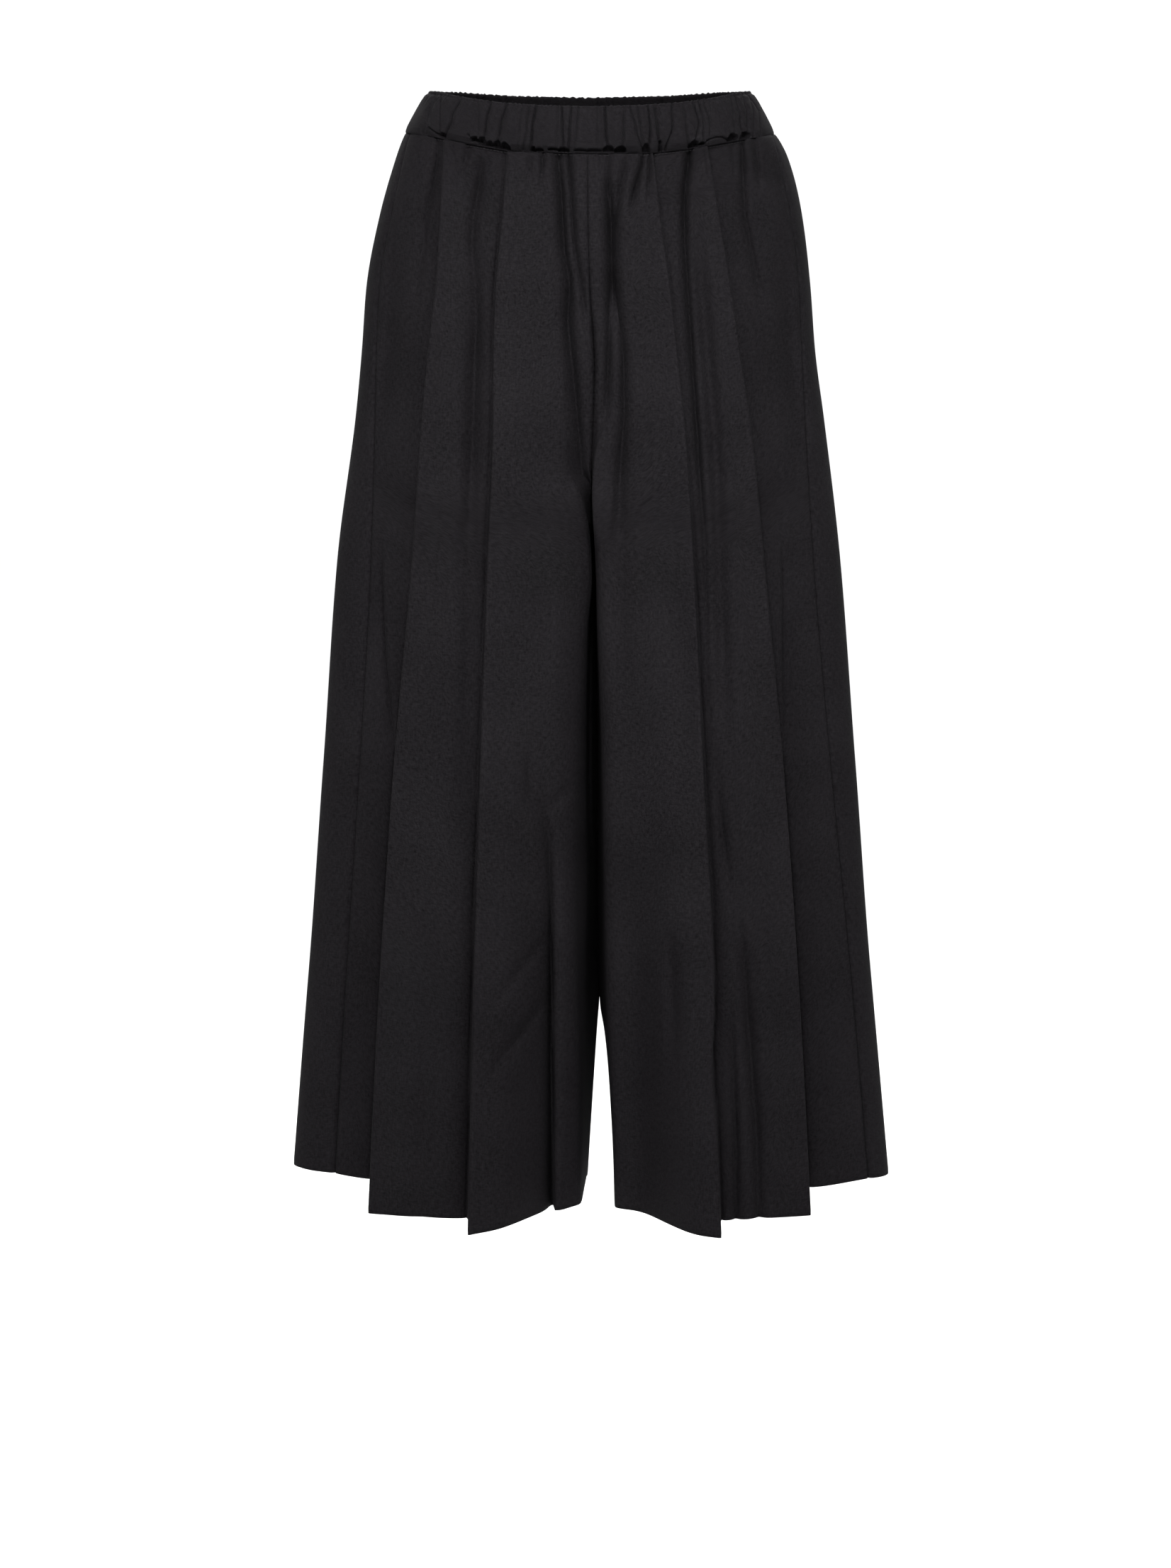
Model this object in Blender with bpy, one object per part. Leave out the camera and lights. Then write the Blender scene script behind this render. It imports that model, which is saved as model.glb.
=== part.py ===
"""Pleated wide-leg trousers, held at the waist as worn: six pieces of cloth, 0.3 mm apart at the seams.

World metres, +Z up, the wearer faces -Y, so the wearer's right is -X. The origin is the middle of the
waist opening. Sizes below are millimetres. In the tables of a leg, u is the distance out from the
middle plane (x = -u for the right leg, x = +u for the left) and f is the distance forward (y = -f).

Each leg is one sheet of cloth laid round rods, as a belt runs round pulleys: every pressed fold and
every bend has a rod, and a table gives the rod's place at a few heights. The cloth between two rods is
straight, and soft folds are then pushed into it by one smooth field that moves all layers together.
"""

import math

import bpy
import numpy as np

WALL = 1.3            # thickness of a leg's cloth
BAND_WALL = 2.2       # thickness of the waistband casing, two cloths and the elastic
SEAM = 0.3            # gap between two sewn pieces
CLEAR = 0.06          # more room where the two legs lie beside each other
FOLD_R = 1.15         # radius of a pressed fold, on the middle of the cloth

# Front rise and centre back: height z, place x across, distance forward f.
FRONT_RISE = (
    # z,    x,    f
    (-10, -2.0, 97.0),
    (-75, -1.5, 105.5),
    (-130, 0.0, 112.5),
    (-185, 3.5, 115.0),
    (-225, 4.5, 110.0),
    (-250, 5.5, 98.0),
    (-275, 6.5, 78.0),
    (-300, 6.5, 48.0),
    (-320, 5.5, 14.0),
    (-332, 4.0, -10.0),
)
BACK_RISE = (
    # z,    x,    f
    (-10, 0.0, -100.0),
    (-60, 0.0, -116.0),
    (-130, 0.0, -131.0),
    (-190, 0.0, -136.0),
    (-240, 0.0, -131.0),
    (-270, 0.0, -114.0),
    (-295, 0.5, -83.0),
    (-315, 1.5, -46.0),
    (-332, 4.0, -10.0),
)
CROTCH_Z = -332.0

# Inseams below the crotch: height z, distance out u, distance forward f.
INSEAM = {
    "right": (
        # z,    u,     f
        (-332, -4.0, -10.0),
        (-350, -4.7, -22.0),
        (-400, -6.5, -34.0),
        (-515, -8.0, -35.0),
        (-690, -8.5, -33.0),
        (-716, -7.6, -28.0),
        (-736, -6.0, -22.0),
        (-765, -4.0, -16.0),
        (-820, -0.5, -12.0),
        (-880, 3.0, -12.0),
    ),
    "left": (
        # z,    u,    f
        (-332, 4.0, -10.0),
        (-350, 4.6, -4.0),
        (-400, 5.5, 3.0),
        (-515, 7.0, 4.0),
        (-690, 7.5, 3.0),
        (-716, 8.8, 0.0),
        (-740, 12.4, -6.0),
        (-765, 15.0, -10.0),
        (-820, 18.5, -12.0),
        (-880, 21.5, -12.0),
    ),
}

# Rods round which the cloth of a leg turns, from the front rise outward and back to the back rise.
# turn is -1 where the cloth bends round the leg and +1 where it bends the other way, in a valley.
# Rows: height z, centre u, centre f, radius r.
RODS = {
    "right": (
        ("inner_front", -1, (
            (-10, 16.0, 86.5, 11.0), (-75, 18.0, 96.0, 11.0), (-130, 20.0, 103.5, 11.0),
            (-185, 22.0, 107.0, 11.0), (-240, 24.0, 103.0, 14.0), (-300, 26.0, 99.0, 15.0),
            (-350, 26.0, 98.0, 15.0), (-515, 29.0, 98.0, 15.0), (-690, 25.0, 97.0, 15.0),
            (-880, 22.0, 96.0, 14.0))),
        ("pleat_b_edge", -1, (
            (-10, 62.0, 91.0, 1.15), (-75, 67.0, 103.0, 1.15), (-130, 72.0, 112.0, 1.15),
            (-185, 74.0, 117.0, 1.15), (-240, 74.5, 120.0, 1.15), (-350, 79.0, 125.0, 1.15),
            (-515, 85.0, 136.0, 1.3), (-690, 90.0, 152.0, 1.5), (-880, 94.5, 173.0, 1.6))),
        ("pleat_b_valley", 1, (
            (-10, 40.0, 91.0, 1.15), (-75, 44.0, 102.0, 1.15), (-130, 48.0, 110.5, 1.15),
            (-185, 50.0, 114.5, 1.15), (-240, 50.0, 116.5, 1.15), (-350, 54.0, 117.5, 1.3),
            (-515, 60.0, 125.5, 1.6), (-690, 66.0, 134.0, 1.9), (-880, 72.0, 144.0, 2.2))),
        ("pleat_a_edge", -1, (
            (-10, 113.0, 69.0, 1.15), (-75, 116.0, 82.0, 1.15), (-130, 119.5, 90.5, 1.15),
            (-185, 126.0, 94.5, 1.15), (-240, 131.0, 97.0, 1.15), (-350, 139.0, 101.0, 1.15),
            (-515, 154.0, 107.0, 1.3), (-690, 165.5, 115.0, 1.5), (-880, 175.5, 124.0, 1.6))),
        ("pleat_a_valley", 1, (
            (-10, 92.0, 73.5, 1.15), (-75, 94.0, 86.5, 1.15), (-130, 97.0, 94.5, 1.15),
            (-185, 102.0, 98.0, 1.15), (-240, 107.0, 98.0, 1.3), (-350, 117.0, 91.0, 2.0),
            (-515, 138.0, 74.0, 2.5), (-690, 152.0, 63.0, 3.0), (-880, 165.0, 54.0, 3.0))),
        ("side", -1, (
            (-10, 79.5, 3.0, 68.0), (-30, 87.0, 3.0, 67.0), (-75, 104.0, 4.0, 63.0),
            (-130, 118.0, 2.0, 60.0), (-185, 126.0, 0.0, 56.5), (-240, 136.0, 0.0, 52.0),
            (-350, 157.0, -2.0, 46.0), (-515, 176.5, -4.0, 39.0), (-690, 193.0, -6.0, 36.0),
            (-880, 209.0, -8.0, 36.0))),
        ("back_outer", -1, (
            (-10, 84.0, -36.0, 48.0), (-75, 88.0, -56.0, 50.0), (-130, 102.0, -66.0, 50.0),
            (-185, 108.0, -72.0, 50.0), (-240, 112.0, -74.0, 50.0), (-350, 128.0, -70.0, 50.0),
            (-515, 138.0, -72.0, 50.0), (-690, 148.0, -82.0, 50.0), (-880, 160.0, -95.0, 50.0))),
        ("back_inner", -1, (
            (-10, 20.0, -86.0, 15.0), (-75, 24.0, -105.0, 16.0), (-130, 28.0, -117.0, 18.0),
            (-185, 32.0, -123.0, 18.0), (-250, 31.0, -120.0, 18.0), (-300, 29.0, -116.0, 18.0),
            (-350, 28.0, -112.0, 18.0), (-515, 30.0, -110.0, 18.0), (-690, 29.0, -120.0, 18.0),
            (-880, 27.0, -135.0, 18.0))),
    ),
    "left": (
        ("inner_front", -1, (
            (-10, 16.0, 86.5, 11.0), (-75, 18.0, 96.0, 11.0), (-130, 21.0, 103.5, 11.0),
            (-185, 25.0, 107.0, 11.0), (-240, 24.0, 104.0, 14.0), (-300, 21.0, 99.5, 15.0),
            (-350, 20.5, 98.0, 15.0), (-515, 25.0, 98.0, 15.0), (-690, 28.0, 97.0, 15.0),
            (-820, 34.0, 97.0, 15.0), (-880, 35.5, 97.0, 15.0))),
        ("pleat_c_edge", -1, (
            (-10, 46.0, 93.5, 1.15), (-75, 53.5, 104.5, 1.15), (-130, 61.0, 113.0, 1.15),
            (-185, 67.0, 118.0, 1.15), (-240, 73.0, 120.5, 1.15), (-350, 80.0, 126.0, 1.15),
            (-515, 88.0, 137.0, 1.3), (-690, 96.0, 154.0, 1.5), (-735, 94.5, 158.0, 1.5),
            (-790, 98.0, 165.0, 1.5), (-880, 102.0, 175.0, 1.6))),
        ("pleat_c_valley", 1, (
            (-10, 25.0, 92.0, 1.15), (-75, 31.0, 102.5, 1.15), (-130, 37.0, 111.0, 1.15),
            (-185, 43.0, 115.0, 1.15), (-240, 48.0, 117.0, 1.15), (-350, 55.0, 118.0, 1.3),
            (-515, 63.0, 126.5, 1.6), (-690, 72.0, 136.0, 1.9), (-880, 79.0, 146.0, 2.2))),
        ("pleat_d_edge", -1, (
            (-10, 89.0, 79.5, 1.15), (-75, 99.5, 87.5, 1.15), (-130, 108.5, 94.0, 1.15),
            (-185, 116.5, 97.5, 1.15), (-240, 125.0, 98.5, 1.15), (-350, 136.0, 102.0, 1.15),
            (-515, 152.0, 107.0, 1.3), (-690, 164.5, 115.0, 1.5), (-880, 175.0, 123.0, 1.6))),
        ("pleat_d_valley", 1, (
            (-10, 68.0, 82.5, 1.15), (-75, 77.0, 92.0, 1.15), (-130, 85.0, 98.5, 1.15),
            (-185, 92.0, 101.5, 1.15), (-240, 101.0, 101.5, 1.3), (-350, 114.0, 94.0, 2.0),
            (-515, 136.0, 80.0, 2.5), (-690, 151.0, 71.0, 3.0), (-880, 166.0, 65.0, 3.0))),
        ("side", -1, (
            (-10, 80.0, 3.0, 68.0), (-30, 90.5, 3.0, 67.0), (-75, 106.0, 4.0, 63.0),
            (-130, 116.0, 2.0, 60.0), (-185, 124.0, 0.0, 56.5), (-240, 136.0, 0.0, 52.0),
            (-350, 155.5, -2.0, 46.0), (-515, 176.0, -4.0, 39.0), (-690, 193.0, -6.0, 36.0),
            (-880, 211.0, -8.0, 36.0))),
        ("back_outer", -1, (
            (-10, 84.0, -36.0, 48.0), (-75, 88.0, -56.0, 50.0), (-130, 102.0, -66.0, 50.0),
            (-185, 108.0, -72.0, 50.0), (-240, 112.0, -74.0, 50.0), (-350, 128.0, -70.0, 50.0),
            (-515, 138.0, -72.0, 50.0), (-690, 148.0, -82.0, 50.0), (-880, 162.0, -95.0, 50.0))),
        ("back_inner", -1, (
            (-10, 20.0, -86.0, 15.0), (-75, 24.0, -105.0, 16.0), (-130, 28.0, -117.0, 18.0),
            (-185, 32.0, -123.0, 18.0), (-250, 31.0, -120.0, 18.0), (-300, 30.0, -116.0, 18.0),
            (-350, 32.0, -112.0, 18.0), (-515, 37.0, -110.0, 18.0), (-690, 38.0, -120.0, 18.0),
            (-880, 46.0, -135.0, 18.0))),
    ),
}

# Outseam: height z, distance out u.
OUTSEAM = {
    "right": (
        (-10, 144.0), (-75, 158.0), (-130, 168.0), (-185, 171.0), (-240, 172.5), (-350, 176.0),
        (-515, 186.0), (-690, 198.0), (-880, 209.5)),
    "left": (
        (-10, 146.0), (-75, 160.0), (-130, 167.0), (-185, 170.0), (-240, 173.0), (-350, 180.0),
        (-515, 195.0), (-690, 213.0), (-880, 230.0)),
}

# Height of the waist seam by the place across, at the front and at the back of the ring.
WAIST_SEAM = (
    # x,     front,  back
    (-150, -11.0, -11.0),
    (-130, -13.0, -12.5),
    (-102, -18.5, -14.0),
    (-64, -25.0, -16.0),
    (0, -27.0, -18.0),
    (49, -26.5, -16.5),
    (77, -23.5, -15.5),
    (99, -20.0, -14.5),
    (130, -15.0, -13.0),
    (150, -12.5, -12.5),
)

# Height of the hem at the stations of a leg, from the front rise round to the back rise: the stations
# are the rods' names, the outseam and the two ends.
HEM = {
    "right": (
        # station, height
        ("front_rise", -858.0),
        ("inner_front", -862.0),
        ("pleat_edge_1", -870.5),
        ("pleat_valley_1", -867.5),
        ("pleat_edge_2", -864.0),
        ("pleat_valley_2", -857.0),
        ("outseam", -851.0),
        ("side", -850.0),
        ("back_outer", -856.0),
        ("back_inner", -861.0),
        ("back_rise", -862.0),
    ),
    "left": (
        ("front_rise", -862.0),
        ("inner_front", -865.0),
        ("pleat_edge_1", -871.5),
        ("pleat_valley_1", -868.5),
        ("pleat_edge_2", -865.5),
        ("pleat_valley_2", -861.0),
        ("outseam", -857.0),
        ("side", -858.0),
        ("back_outer", -861.0),
        ("back_inner", -864.0),
        ("back_rise", -862.0),
    ),
}

# Soft folds, each one trough (depth below 0: the cloth is drawn in) or ridge (above 0) that runs down
# the leg: face, three places on its line as (z, u), depth at the three places, half width.
SOFT_FOLDS = {
    "right": (
        # face,   z0,  u0,   z1,  u1,   z2,  u2,   d0,   d1,  d2, half width
        ("front", -20, 22, -130, 16, -245, 10, -3.5, -4.0, 0.0, 9.0),
        ("front", -15, 88, -130, 92, -300, 90, -2.0, -3.0, 0.0, 12.0),
        ("front", -340, 153, -430, 148, -520, 158, 0.0, -4.0, 0.0, 9.0),
        ("front", -470, 40, -620, 32, -880, 33, 0.0, -5.0, -5.0, 10.0),
        ("front", -420, 45, -640, 58, -880, 55, 0.0, 4.0, 3.0, 16.0),
        ("back", -12, 40, -260, 46, -560, 52, -3.0, -7.0, 0.0, 15.0),
        ("back", -12, 78, -350, 92, -880, 96, -3.0, -9.0, -15.0, 19.0),
        ("back", -60, 112, -400, 134, -880, 148, 0.0, 5.0, 10.0, 19.0),
        ("back", -300, 62, -600, 66, -880, 62, 0.0, 4.0, 9.0, 17.0),
    ),
    "left": (
        ("front", -20, 77, -110, 75, -300, 90, -5.5, -7.0, -1.0, 7.5),
        ("front", -20, 14, -130, 22, -300, 32, -2.0, -2.5, 0.0, 8.0),
        ("front", -340, 166, -420, 160, -520, 158, 0.0, -4.0, 0.0, 9.0),
        ("front", -620, 62, -730, 68, -880, 62, 0.0, -4.0, -3.0, 11.0),
        ("front", -420, 40, -640, 46, -880, 45, 0.0, 3.5, 3.0, 16.0),
        ("back", -12, 34, -280, 44, -620, 60, -3.0, -8.0, 0.0, 15.0),
        ("back", -12, 84, -330, 97, -880, 108, -3.0, -8.0, -14.0, 19.0),
        ("back", -60, 118, -420, 138, -880, 152, 0.0, 6.0, 9.0, 19.0),
        ("back", -350, 72, -620, 76, -880, 76, 0.0, 4.0, 9.0, 16.0),
    ),
}

# Heights of the rows of a leg's mesh, as distance below the waist seam at the front.
LEG_ROWS = (0, 14, 34, 62, 98, 145, 190, 220, 245, 268, 288, 303, 318, 338, 375, 425, 500, 595, 690,
            770, 840)
LEVEL_ROW = 303       # the row that runs level at the crotch

# How many steps of the mesh each stretch of a leg has, from the front rise to the back rise.
FRONT_STEPS = (3, 3, 7, 5, 2, 5, 6, 5, 2, 5, 6)
BACK_STEPS = (5, 3, 4, 14, 4, 5)

# Waistband ring at four heights v, from the waist seam (0) to the top (1): half width, reach forward,
# reach back.
BAND_RINGS = (
    # v,    half width, front, back
    (0.0, 145.0, 97.5, 100.0),
    (0.16, 144.0, 99.5, 101.5),
    (0.55, 137.8, 97.0, 97.5),
    (1.0, 128.6, 92.0, 91.0),
)
BAND_TOP = (
    # x from the middle as a part of the half width, top height at the front
    (0.0, 9.5),
    (0.30, 10.5),
    (0.55, 12.5),
    (0.75, 16.0),
    (0.90, 19.5),
    (1.0, 21.0),
)
BAND_GATHERS = 30       # gathers of each half of the waistband
BAND_GATHER_DEPTH = 1.5


def smooth(t):
    """Smooth step from 0 at t = 0 to 1 at t = 1."""
    t = np.clip(t, 0.0, 1.0)
    return t * t * (3.0 - 2.0 * t)


def along(rows, z, column):
    """Value of a table's column at the heights z, by a smooth curve through the rows that never overshoots."""
    rows = sorted(rows)
    x = np.array([row[0] for row in rows], float)
    y = np.array([row[column] for row in rows], float)
    step = np.diff(x)
    slope = np.diff(y) / step
    tangent = np.zeros(len(x))
    for i in range(1, len(x) - 1):
        if slope[i - 1] * slope[i] > 0:
            w0 = 2 * step[i] + step[i - 1]
            w1 = step[i] + 2 * step[i - 1]
            tangent[i] = (w0 + w1) / (w0 / slope[i - 1] + w1 / slope[i])
    tangent[0] = slope[0]
    tangent[-1] = slope[-1]
    z = np.clip(np.asarray(z, float), x[0], x[-1])
    i = np.clip(np.searchsorted(x, z) - 1, 0, len(step) - 1)
    t = (z - x[i]) / step[i]
    h = step[i]
    return (
        (1 + 2 * t) * (1 - t) ** 2 * y[i]
        + t * (1 - t) ** 2 * h * tangent[i]
        + t * t * (3 - 2 * t) * y[i + 1]
        + t * t * (t - 1) * h * tangent[i + 1]
    )


def seam_height(x, f):
    """Height of the waist seam at a place across and forward."""
    places = [row[0] for row in WAIST_SEAM]
    front = np.interp(x, places, [row[1] for row in WAIST_SEAM])
    back = np.interp(x, places, [row[2] for row in WAIST_SEAM])
    return back + (front - back) * smooth((f + 20.0) / 40.0)


def turn_between(first, second, sign):
    """Angle from one heading to the next, turned the way that the rod turns the cloth."""
    turn = (second - first + math.pi) % (2 * math.pi) - math.pi
    wrong = (turn * sign < 0) & (np.abs(turn) > 1.2)
    return np.where(wrong, turn + sign * 2 * math.pi, turn)


def end_points(side, z):
    """Where the cloth starts, at the front rise or inseam, and where it ends, at the back."""
    mirror = -1.0 if side == "right" else 1.0
    below = z < CROTCH_Z
    front_u = np.where(below, along(INSEAM[side], z, 1), mirror * along(FRONT_RISE, z, 1))
    front_f = np.where(below, along(INSEAM[side], z, 2), along(FRONT_RISE, z, 2))
    back_u = np.where(below, along(INSEAM[side], z, 1), mirror * along(BACK_RISE, z, 1))
    back_f = np.where(below, along(INSEAM[side], z, 2), along(BACK_RISE, z, 2))
    half = SEAM / 2
    # Beside each other the two legs are set a wall further apart than where they meet end to end.
    front_out = half + (WALL / 2 + CLEAR) * smooth((-198.0 - z) / 40.0)
    back_out = half + (WALL / 2 + CLEAR) * smooth((-225.0 - z) / 40.0)
    fade = 1.0 - smooth((-336.0 - z) / 26.0)
    gap_f = half * smooth((-300.0 - z) / 30.0) + 0.22 * smooth((-332.0 - z) / 20.0)
    start = np.stack([front_u + front_out * fade, front_f + gap_f], 1)
    finish = np.stack([back_u + back_out * fade, back_f - gap_f], 1)
    return start, finish


def leg_stretches(side, z):
    """Centreline of a leg at each height: a list of stretches, each an array heights x points x 2."""
    start, finish = end_points(side, z)
    centres = [start]
    radii = [np.zeros(len(z))]
    for _, sign, rows in RODS[side]:
        centres.append(np.stack([along(rows, z, 1), along(rows, z, 2)], 1))
        radii.append(sign * along(rows, z, 3))
    centres.append(finish)
    radii.append(np.zeros(len(z)))
    headings = []
    for i in range(len(centres) - 1):
        step = centres[i + 1] - centres[i]
        length = np.hypot(step[:, 0], step[:, 1])
        lean = np.arcsin(np.clip((radii[i + 1] - radii[i]) / length, -1.0, 1.0))
        headings.append(np.arctan2(step[:, 1], step[:, 0]) - lean)
    stretches = []
    leave = start
    for i in range(1, len(centres) - 1):
        sign = 1.0 if radii[i][0] > 0 else -1.0
        turn = turn_between(headings[i - 1], headings[i], sign)
        angles = headings[i - 1][:, None] + turn[:, None] * np.linspace(0, 1, 33)[None, :]
        arc = np.stack(
            [
                centres[i][:, None, 0] + radii[i][:, None] * np.sin(angles),
                centres[i][:, None, 1] - radii[i][:, None] * np.cos(angles),
            ],
            2,
        )
        line = leave[:, None, :] + (arc[:, :1] - leave[:, None, :]) * np.linspace(0, 1, 33)[None, :, None]
        stretches.append(line)
        stretches.append(arc)
        leave = arc[:, -1]
    line = leave[:, None, :] + (finish - leave)[:, None, :] * np.linspace(0, 1, 33)[None, :, None]
    stretches.append(line)
    return stretches


def resample(points, steps, first=0.0, last=1.0):
    """Points evenly spaced along each height's polyline, between two parts of its length."""
    part = np.hypot(np.diff(points[..., 0], axis=1), np.diff(points[..., 1], axis=1))
    length = np.concatenate([np.zeros((len(points), 1)), np.cumsum(part, axis=1)], 1)
    total = length[:, -1]
    first = np.broadcast_to(first, total.shape)
    last = np.broadcast_to(last, total.shape)
    out = np.empty((len(points), steps + 1, 2))
    for k in range(len(points)):
        want = total[k] * np.linspace(first[k], last[k], steps + 1)
        out[k, :, 0] = np.interp(want, length[k], points[k, :, 0])
        out[k, :, 1] = np.interp(want, length[k], points[k, :, 1])
    return out, total


def leg_columns(side, z, front_steps, back_steps):
    """Centreline points of the front and of the back piece of a leg at each height."""
    parts = leg_stretches(side, z)
    front = []
    for i in range(10):
        points, _ = resample(parts[i], front_steps[i])
        front.append(points if i == 0 else points[:, 1:])
    # The side runs from the outer pleat's valley to the widest point, and the outseam divides it.
    line = parts[10]
    arc = parts[11]
    whole = np.concatenate([line, arc[:, 1:]], 1)
    widest = np.argmax(whole[..., 0], axis=1)
    before = []
    after = []
    outseam = along(OUTSEAM[side], z, 1)
    for k in range(len(z)):
        climb = whole[k, : widest[k] + 1]
        at = int(np.searchsorted(climb[:, 0], outseam[k]))
        at = min(max(at, 2), len(climb) - 2)
        lower = climb[at - 1]
        upper = climb[at]
        share = np.clip((outseam[k] - lower[0]) / max(upper[0] - lower[0], 1e-6), 0.05, 0.95)
        seam = lower + (upper - lower) * share
        toward = (upper - lower) / max(np.hypot(*(upper - lower)), 1e-6)
        before.append(np.vstack([climb[:at], seam - toward * SEAM / 2]))
        after.append(np.vstack([seam + toward * SEAM / 2, whole[k, at:]]))
    front.append(np.stack([resample(rows[None], front_steps[10])[0][0] for rows in before])[:, 1:])
    back = [np.stack([resample(rows[None], back_steps[0])[0][0] for rows in after])]
    for i in range(12, 17):
        points, _ = resample(parts[i], back_steps[i - 11])
        back.append(points[:, 1:])
    return np.concatenate(front, 1), np.concatenate(back, 1)


def station_columns(front_steps, back_steps):
    """Column number of each station, in the front piece and in the back piece."""
    ends = np.cumsum(front_steps)
    front = [0, ends[1], ends[3], ends[5], ends[7], ends[9], ends[10]]
    back_ends = np.cumsum(back_steps)
    back = [0, back_ends[0] * 0.5, back_ends[2], back_ends[4], back_ends[5]]
    return front, back


def fold_field(side, points, z):
    """Moves points (u, f) at heights z by the soft folds: every layer at one place moves alike."""
    u = points[..., 0].copy()
    f = points[..., 1].copy()
    half = along(RODS[side][5][2], z, 1) + along(RODS[side][5][2], z, 3)
    move = np.zeros_like(u)
    for face, z0, u0, z1, u1, z2, u2, d0, d1, d2, width in SOFT_FOLDS[side]:
        path = ((z2, u2), (z1, u1), (z0, u0))
        line = along(path, z, 1)
        high, mid, low = float(z0), float(z1), float(z2)
        rise = d0 + (d1 - d0) * smooth((high - z) / (high - mid))
        depth = np.where(z > mid, rise, d1 + (d2 - d1) * smooth((mid - z) / (mid - low)))
        depth = np.where(z > high + 15.0, 0.0, depth)
        shape = np.exp(-(((u - line) / width) ** 2))
        middle = smooth((f + 12.0) / 24.0) if face == "front" else smooth((12.0 - f) / 24.0)
        move += depth * shape * middle * (1.0 if face == "front" else -1.0)
    # The folds fade at the widest part and at the middle plane, where the two legs meet.
    move *= smooth((half - 6.0 - u) / 18.0)
    move *= smooth((u - 1.0) / 9.0)
    f = f + move
    return np.stack([u, f], -1)


def leg_sheets(side, rows, front_steps, back_steps):
    """Middle surface of the two pieces of a leg: arrays rows x columns x (u, f, z)."""
    levels = np.linspace(-8.0, -875.0, 290)
    pieces = leg_columns(side, levels, front_steps, back_steps)
    stations = station_columns(front_steps, back_steps)
    tables = (HEM[side][:7], HEM[side][6:])
    mirror = -1.0 if side == "right" else 1.0
    share = np.array(rows, float) / rows[-1]
    level = LEVEL_ROW / rows[-1]
    sheets = []
    for points, at, table in zip(pieces, stations, tables):
        columns = np.arange(points.shape[1])
        brim = np.array([np.interp(20.0, -levels, points[:, c, 0]) for c in columns]) * mirror
        fore = np.array([np.interp(20.0, -levels, points[:, c, 1]) for c in columns])
        top = seam_height(brim, fore)
        hem = np.interp(columns, at, [row[1] for row in table])
        # One row runs level at the crotch, so that both pieces of a leg have the same rows below it.
        upper = top[None, :] + (CROTCH_Z - top)[None, :] * (share / level)[:, None]
        lower = CROTCH_Z + (hem - CROTCH_Z)[None, :] * ((share - level) / (1.0 - level))[:, None]
        z = np.where(share[:, None] < level, upper, lower)
        sheet = np.empty((len(rows), points.shape[1], 3))
        for c in columns:
            sheet[:, c, 0] = np.interp(-z[:, c], -levels, points[:, c, 0])
            sheet[:, c, 1] = np.interp(-z[:, c], -levels, points[:, c, 1])
        sheet[..., 2] = z
        sheet[..., :2] = fold_field(side, sheet[..., :2], z)
        sheets.append(sheet)
    return sheets


def to_world(side, sheet):
    """Leg table coordinates to world coordinates, still millimetres."""
    mirror = -1.0 if side == "right" else 1.0
    return np.stack([mirror * sheet[..., 0], -sheet[..., 1], sheet[..., 2]], -1)


def offset_normals(sheet):
    """Level normals of a sheet, from the direction of its rows, in the sheet's own coordinates."""
    ahead = np.empty_like(sheet[..., :2])
    ahead[:, 1:-1] = sheet[:, 2:, :2] - sheet[:, :-2, :2]
    ahead[:, 0] = sheet[:, 1, :2] - sheet[:, 0, :2]
    ahead[:, -1] = sheet[:, -1, :2] - sheet[:, -2, :2]
    ahead /= np.maximum(np.hypot(ahead[..., 0], ahead[..., 1]), 1e-9)[..., None]
    return np.stack([-ahead[..., 1], ahead[..., 0]], -1)


def solid_from_faces(outer, inner, name, colour, flip, closed=False):
    """Solid between two equal grids of points in millimetres: walls close the four edges."""
    rows, columns = outer.shape[:2]
    points = np.concatenate([outer.reshape(-1, 3), inner.reshape(-1, 3)]) / 1000.0
    shift = rows * columns
    faces = []
    for r in range(rows - 1):
        for c in range(columns - 1):
            a = r * columns + c
            faces.append((a, a + 1, a + columns + 1, a + columns))
            faces.append((shift + a, shift + a + columns, shift + a + columns + 1, shift + a + 1))
    for c in range(columns - 1):
        a = c
        faces.append((a, shift + a, shift + a + 1, a + 1))
        b = (rows - 1) * columns + c
        faces.append((b, b + 1, shift + b + 1, shift + b))
    for r in range(rows - 1):
        a = r * columns
        faces.append((a, a + columns, shift + a + columns, shift + a))
        b = a + columns - 1
        faces.append((b, shift + b, shift + b + columns, b + columns))
    if flip:
        faces = [tuple(reversed(face)) for face in faces]
    mesh = bpy.data.meshes.new(name)
    mesh.from_pydata([tuple(point) for point in points], [], faces)
    mesh.polygons.foreach_set("use_smooth", [True] * len(mesh.polygons))
    mesh.update()
    obj = bpy.data.objects.new(name, mesh)
    bpy.context.scene.collection.objects.link(obj)
    material = bpy.data.materials.new(name + "_cloth")
    material.use_nodes = True
    shader = material.node_tree.nodes["Principled BSDF"]
    shader.inputs["Base Color"].default_value = (*colour, 1.0)
    shader.inputs["Roughness"].default_value = 0.9
    mesh.materials.append(material)
    return obj


def make_leg(side):
    """The front and the back piece of one leg."""
    sheets = leg_sheets(side, LEG_ROWS, FRONT_STEPS, BACK_STEPS)
    for sheet, face in zip(sheets, ("front", "back")):
        normal = offset_normals(sheet)
        outer = sheet.copy()
        inner = sheet.copy()
        outer[..., :2] += normal * WALL / 2
        inner[..., :2] -= normal * WALL / 2
        solid_from_faces(
            to_world(side, outer),
            to_world(side, inner),
            f"{face}_{side}_leg",
            (0.02, 0.019, 0.021),
            flip=side == "left",
        )


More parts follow.
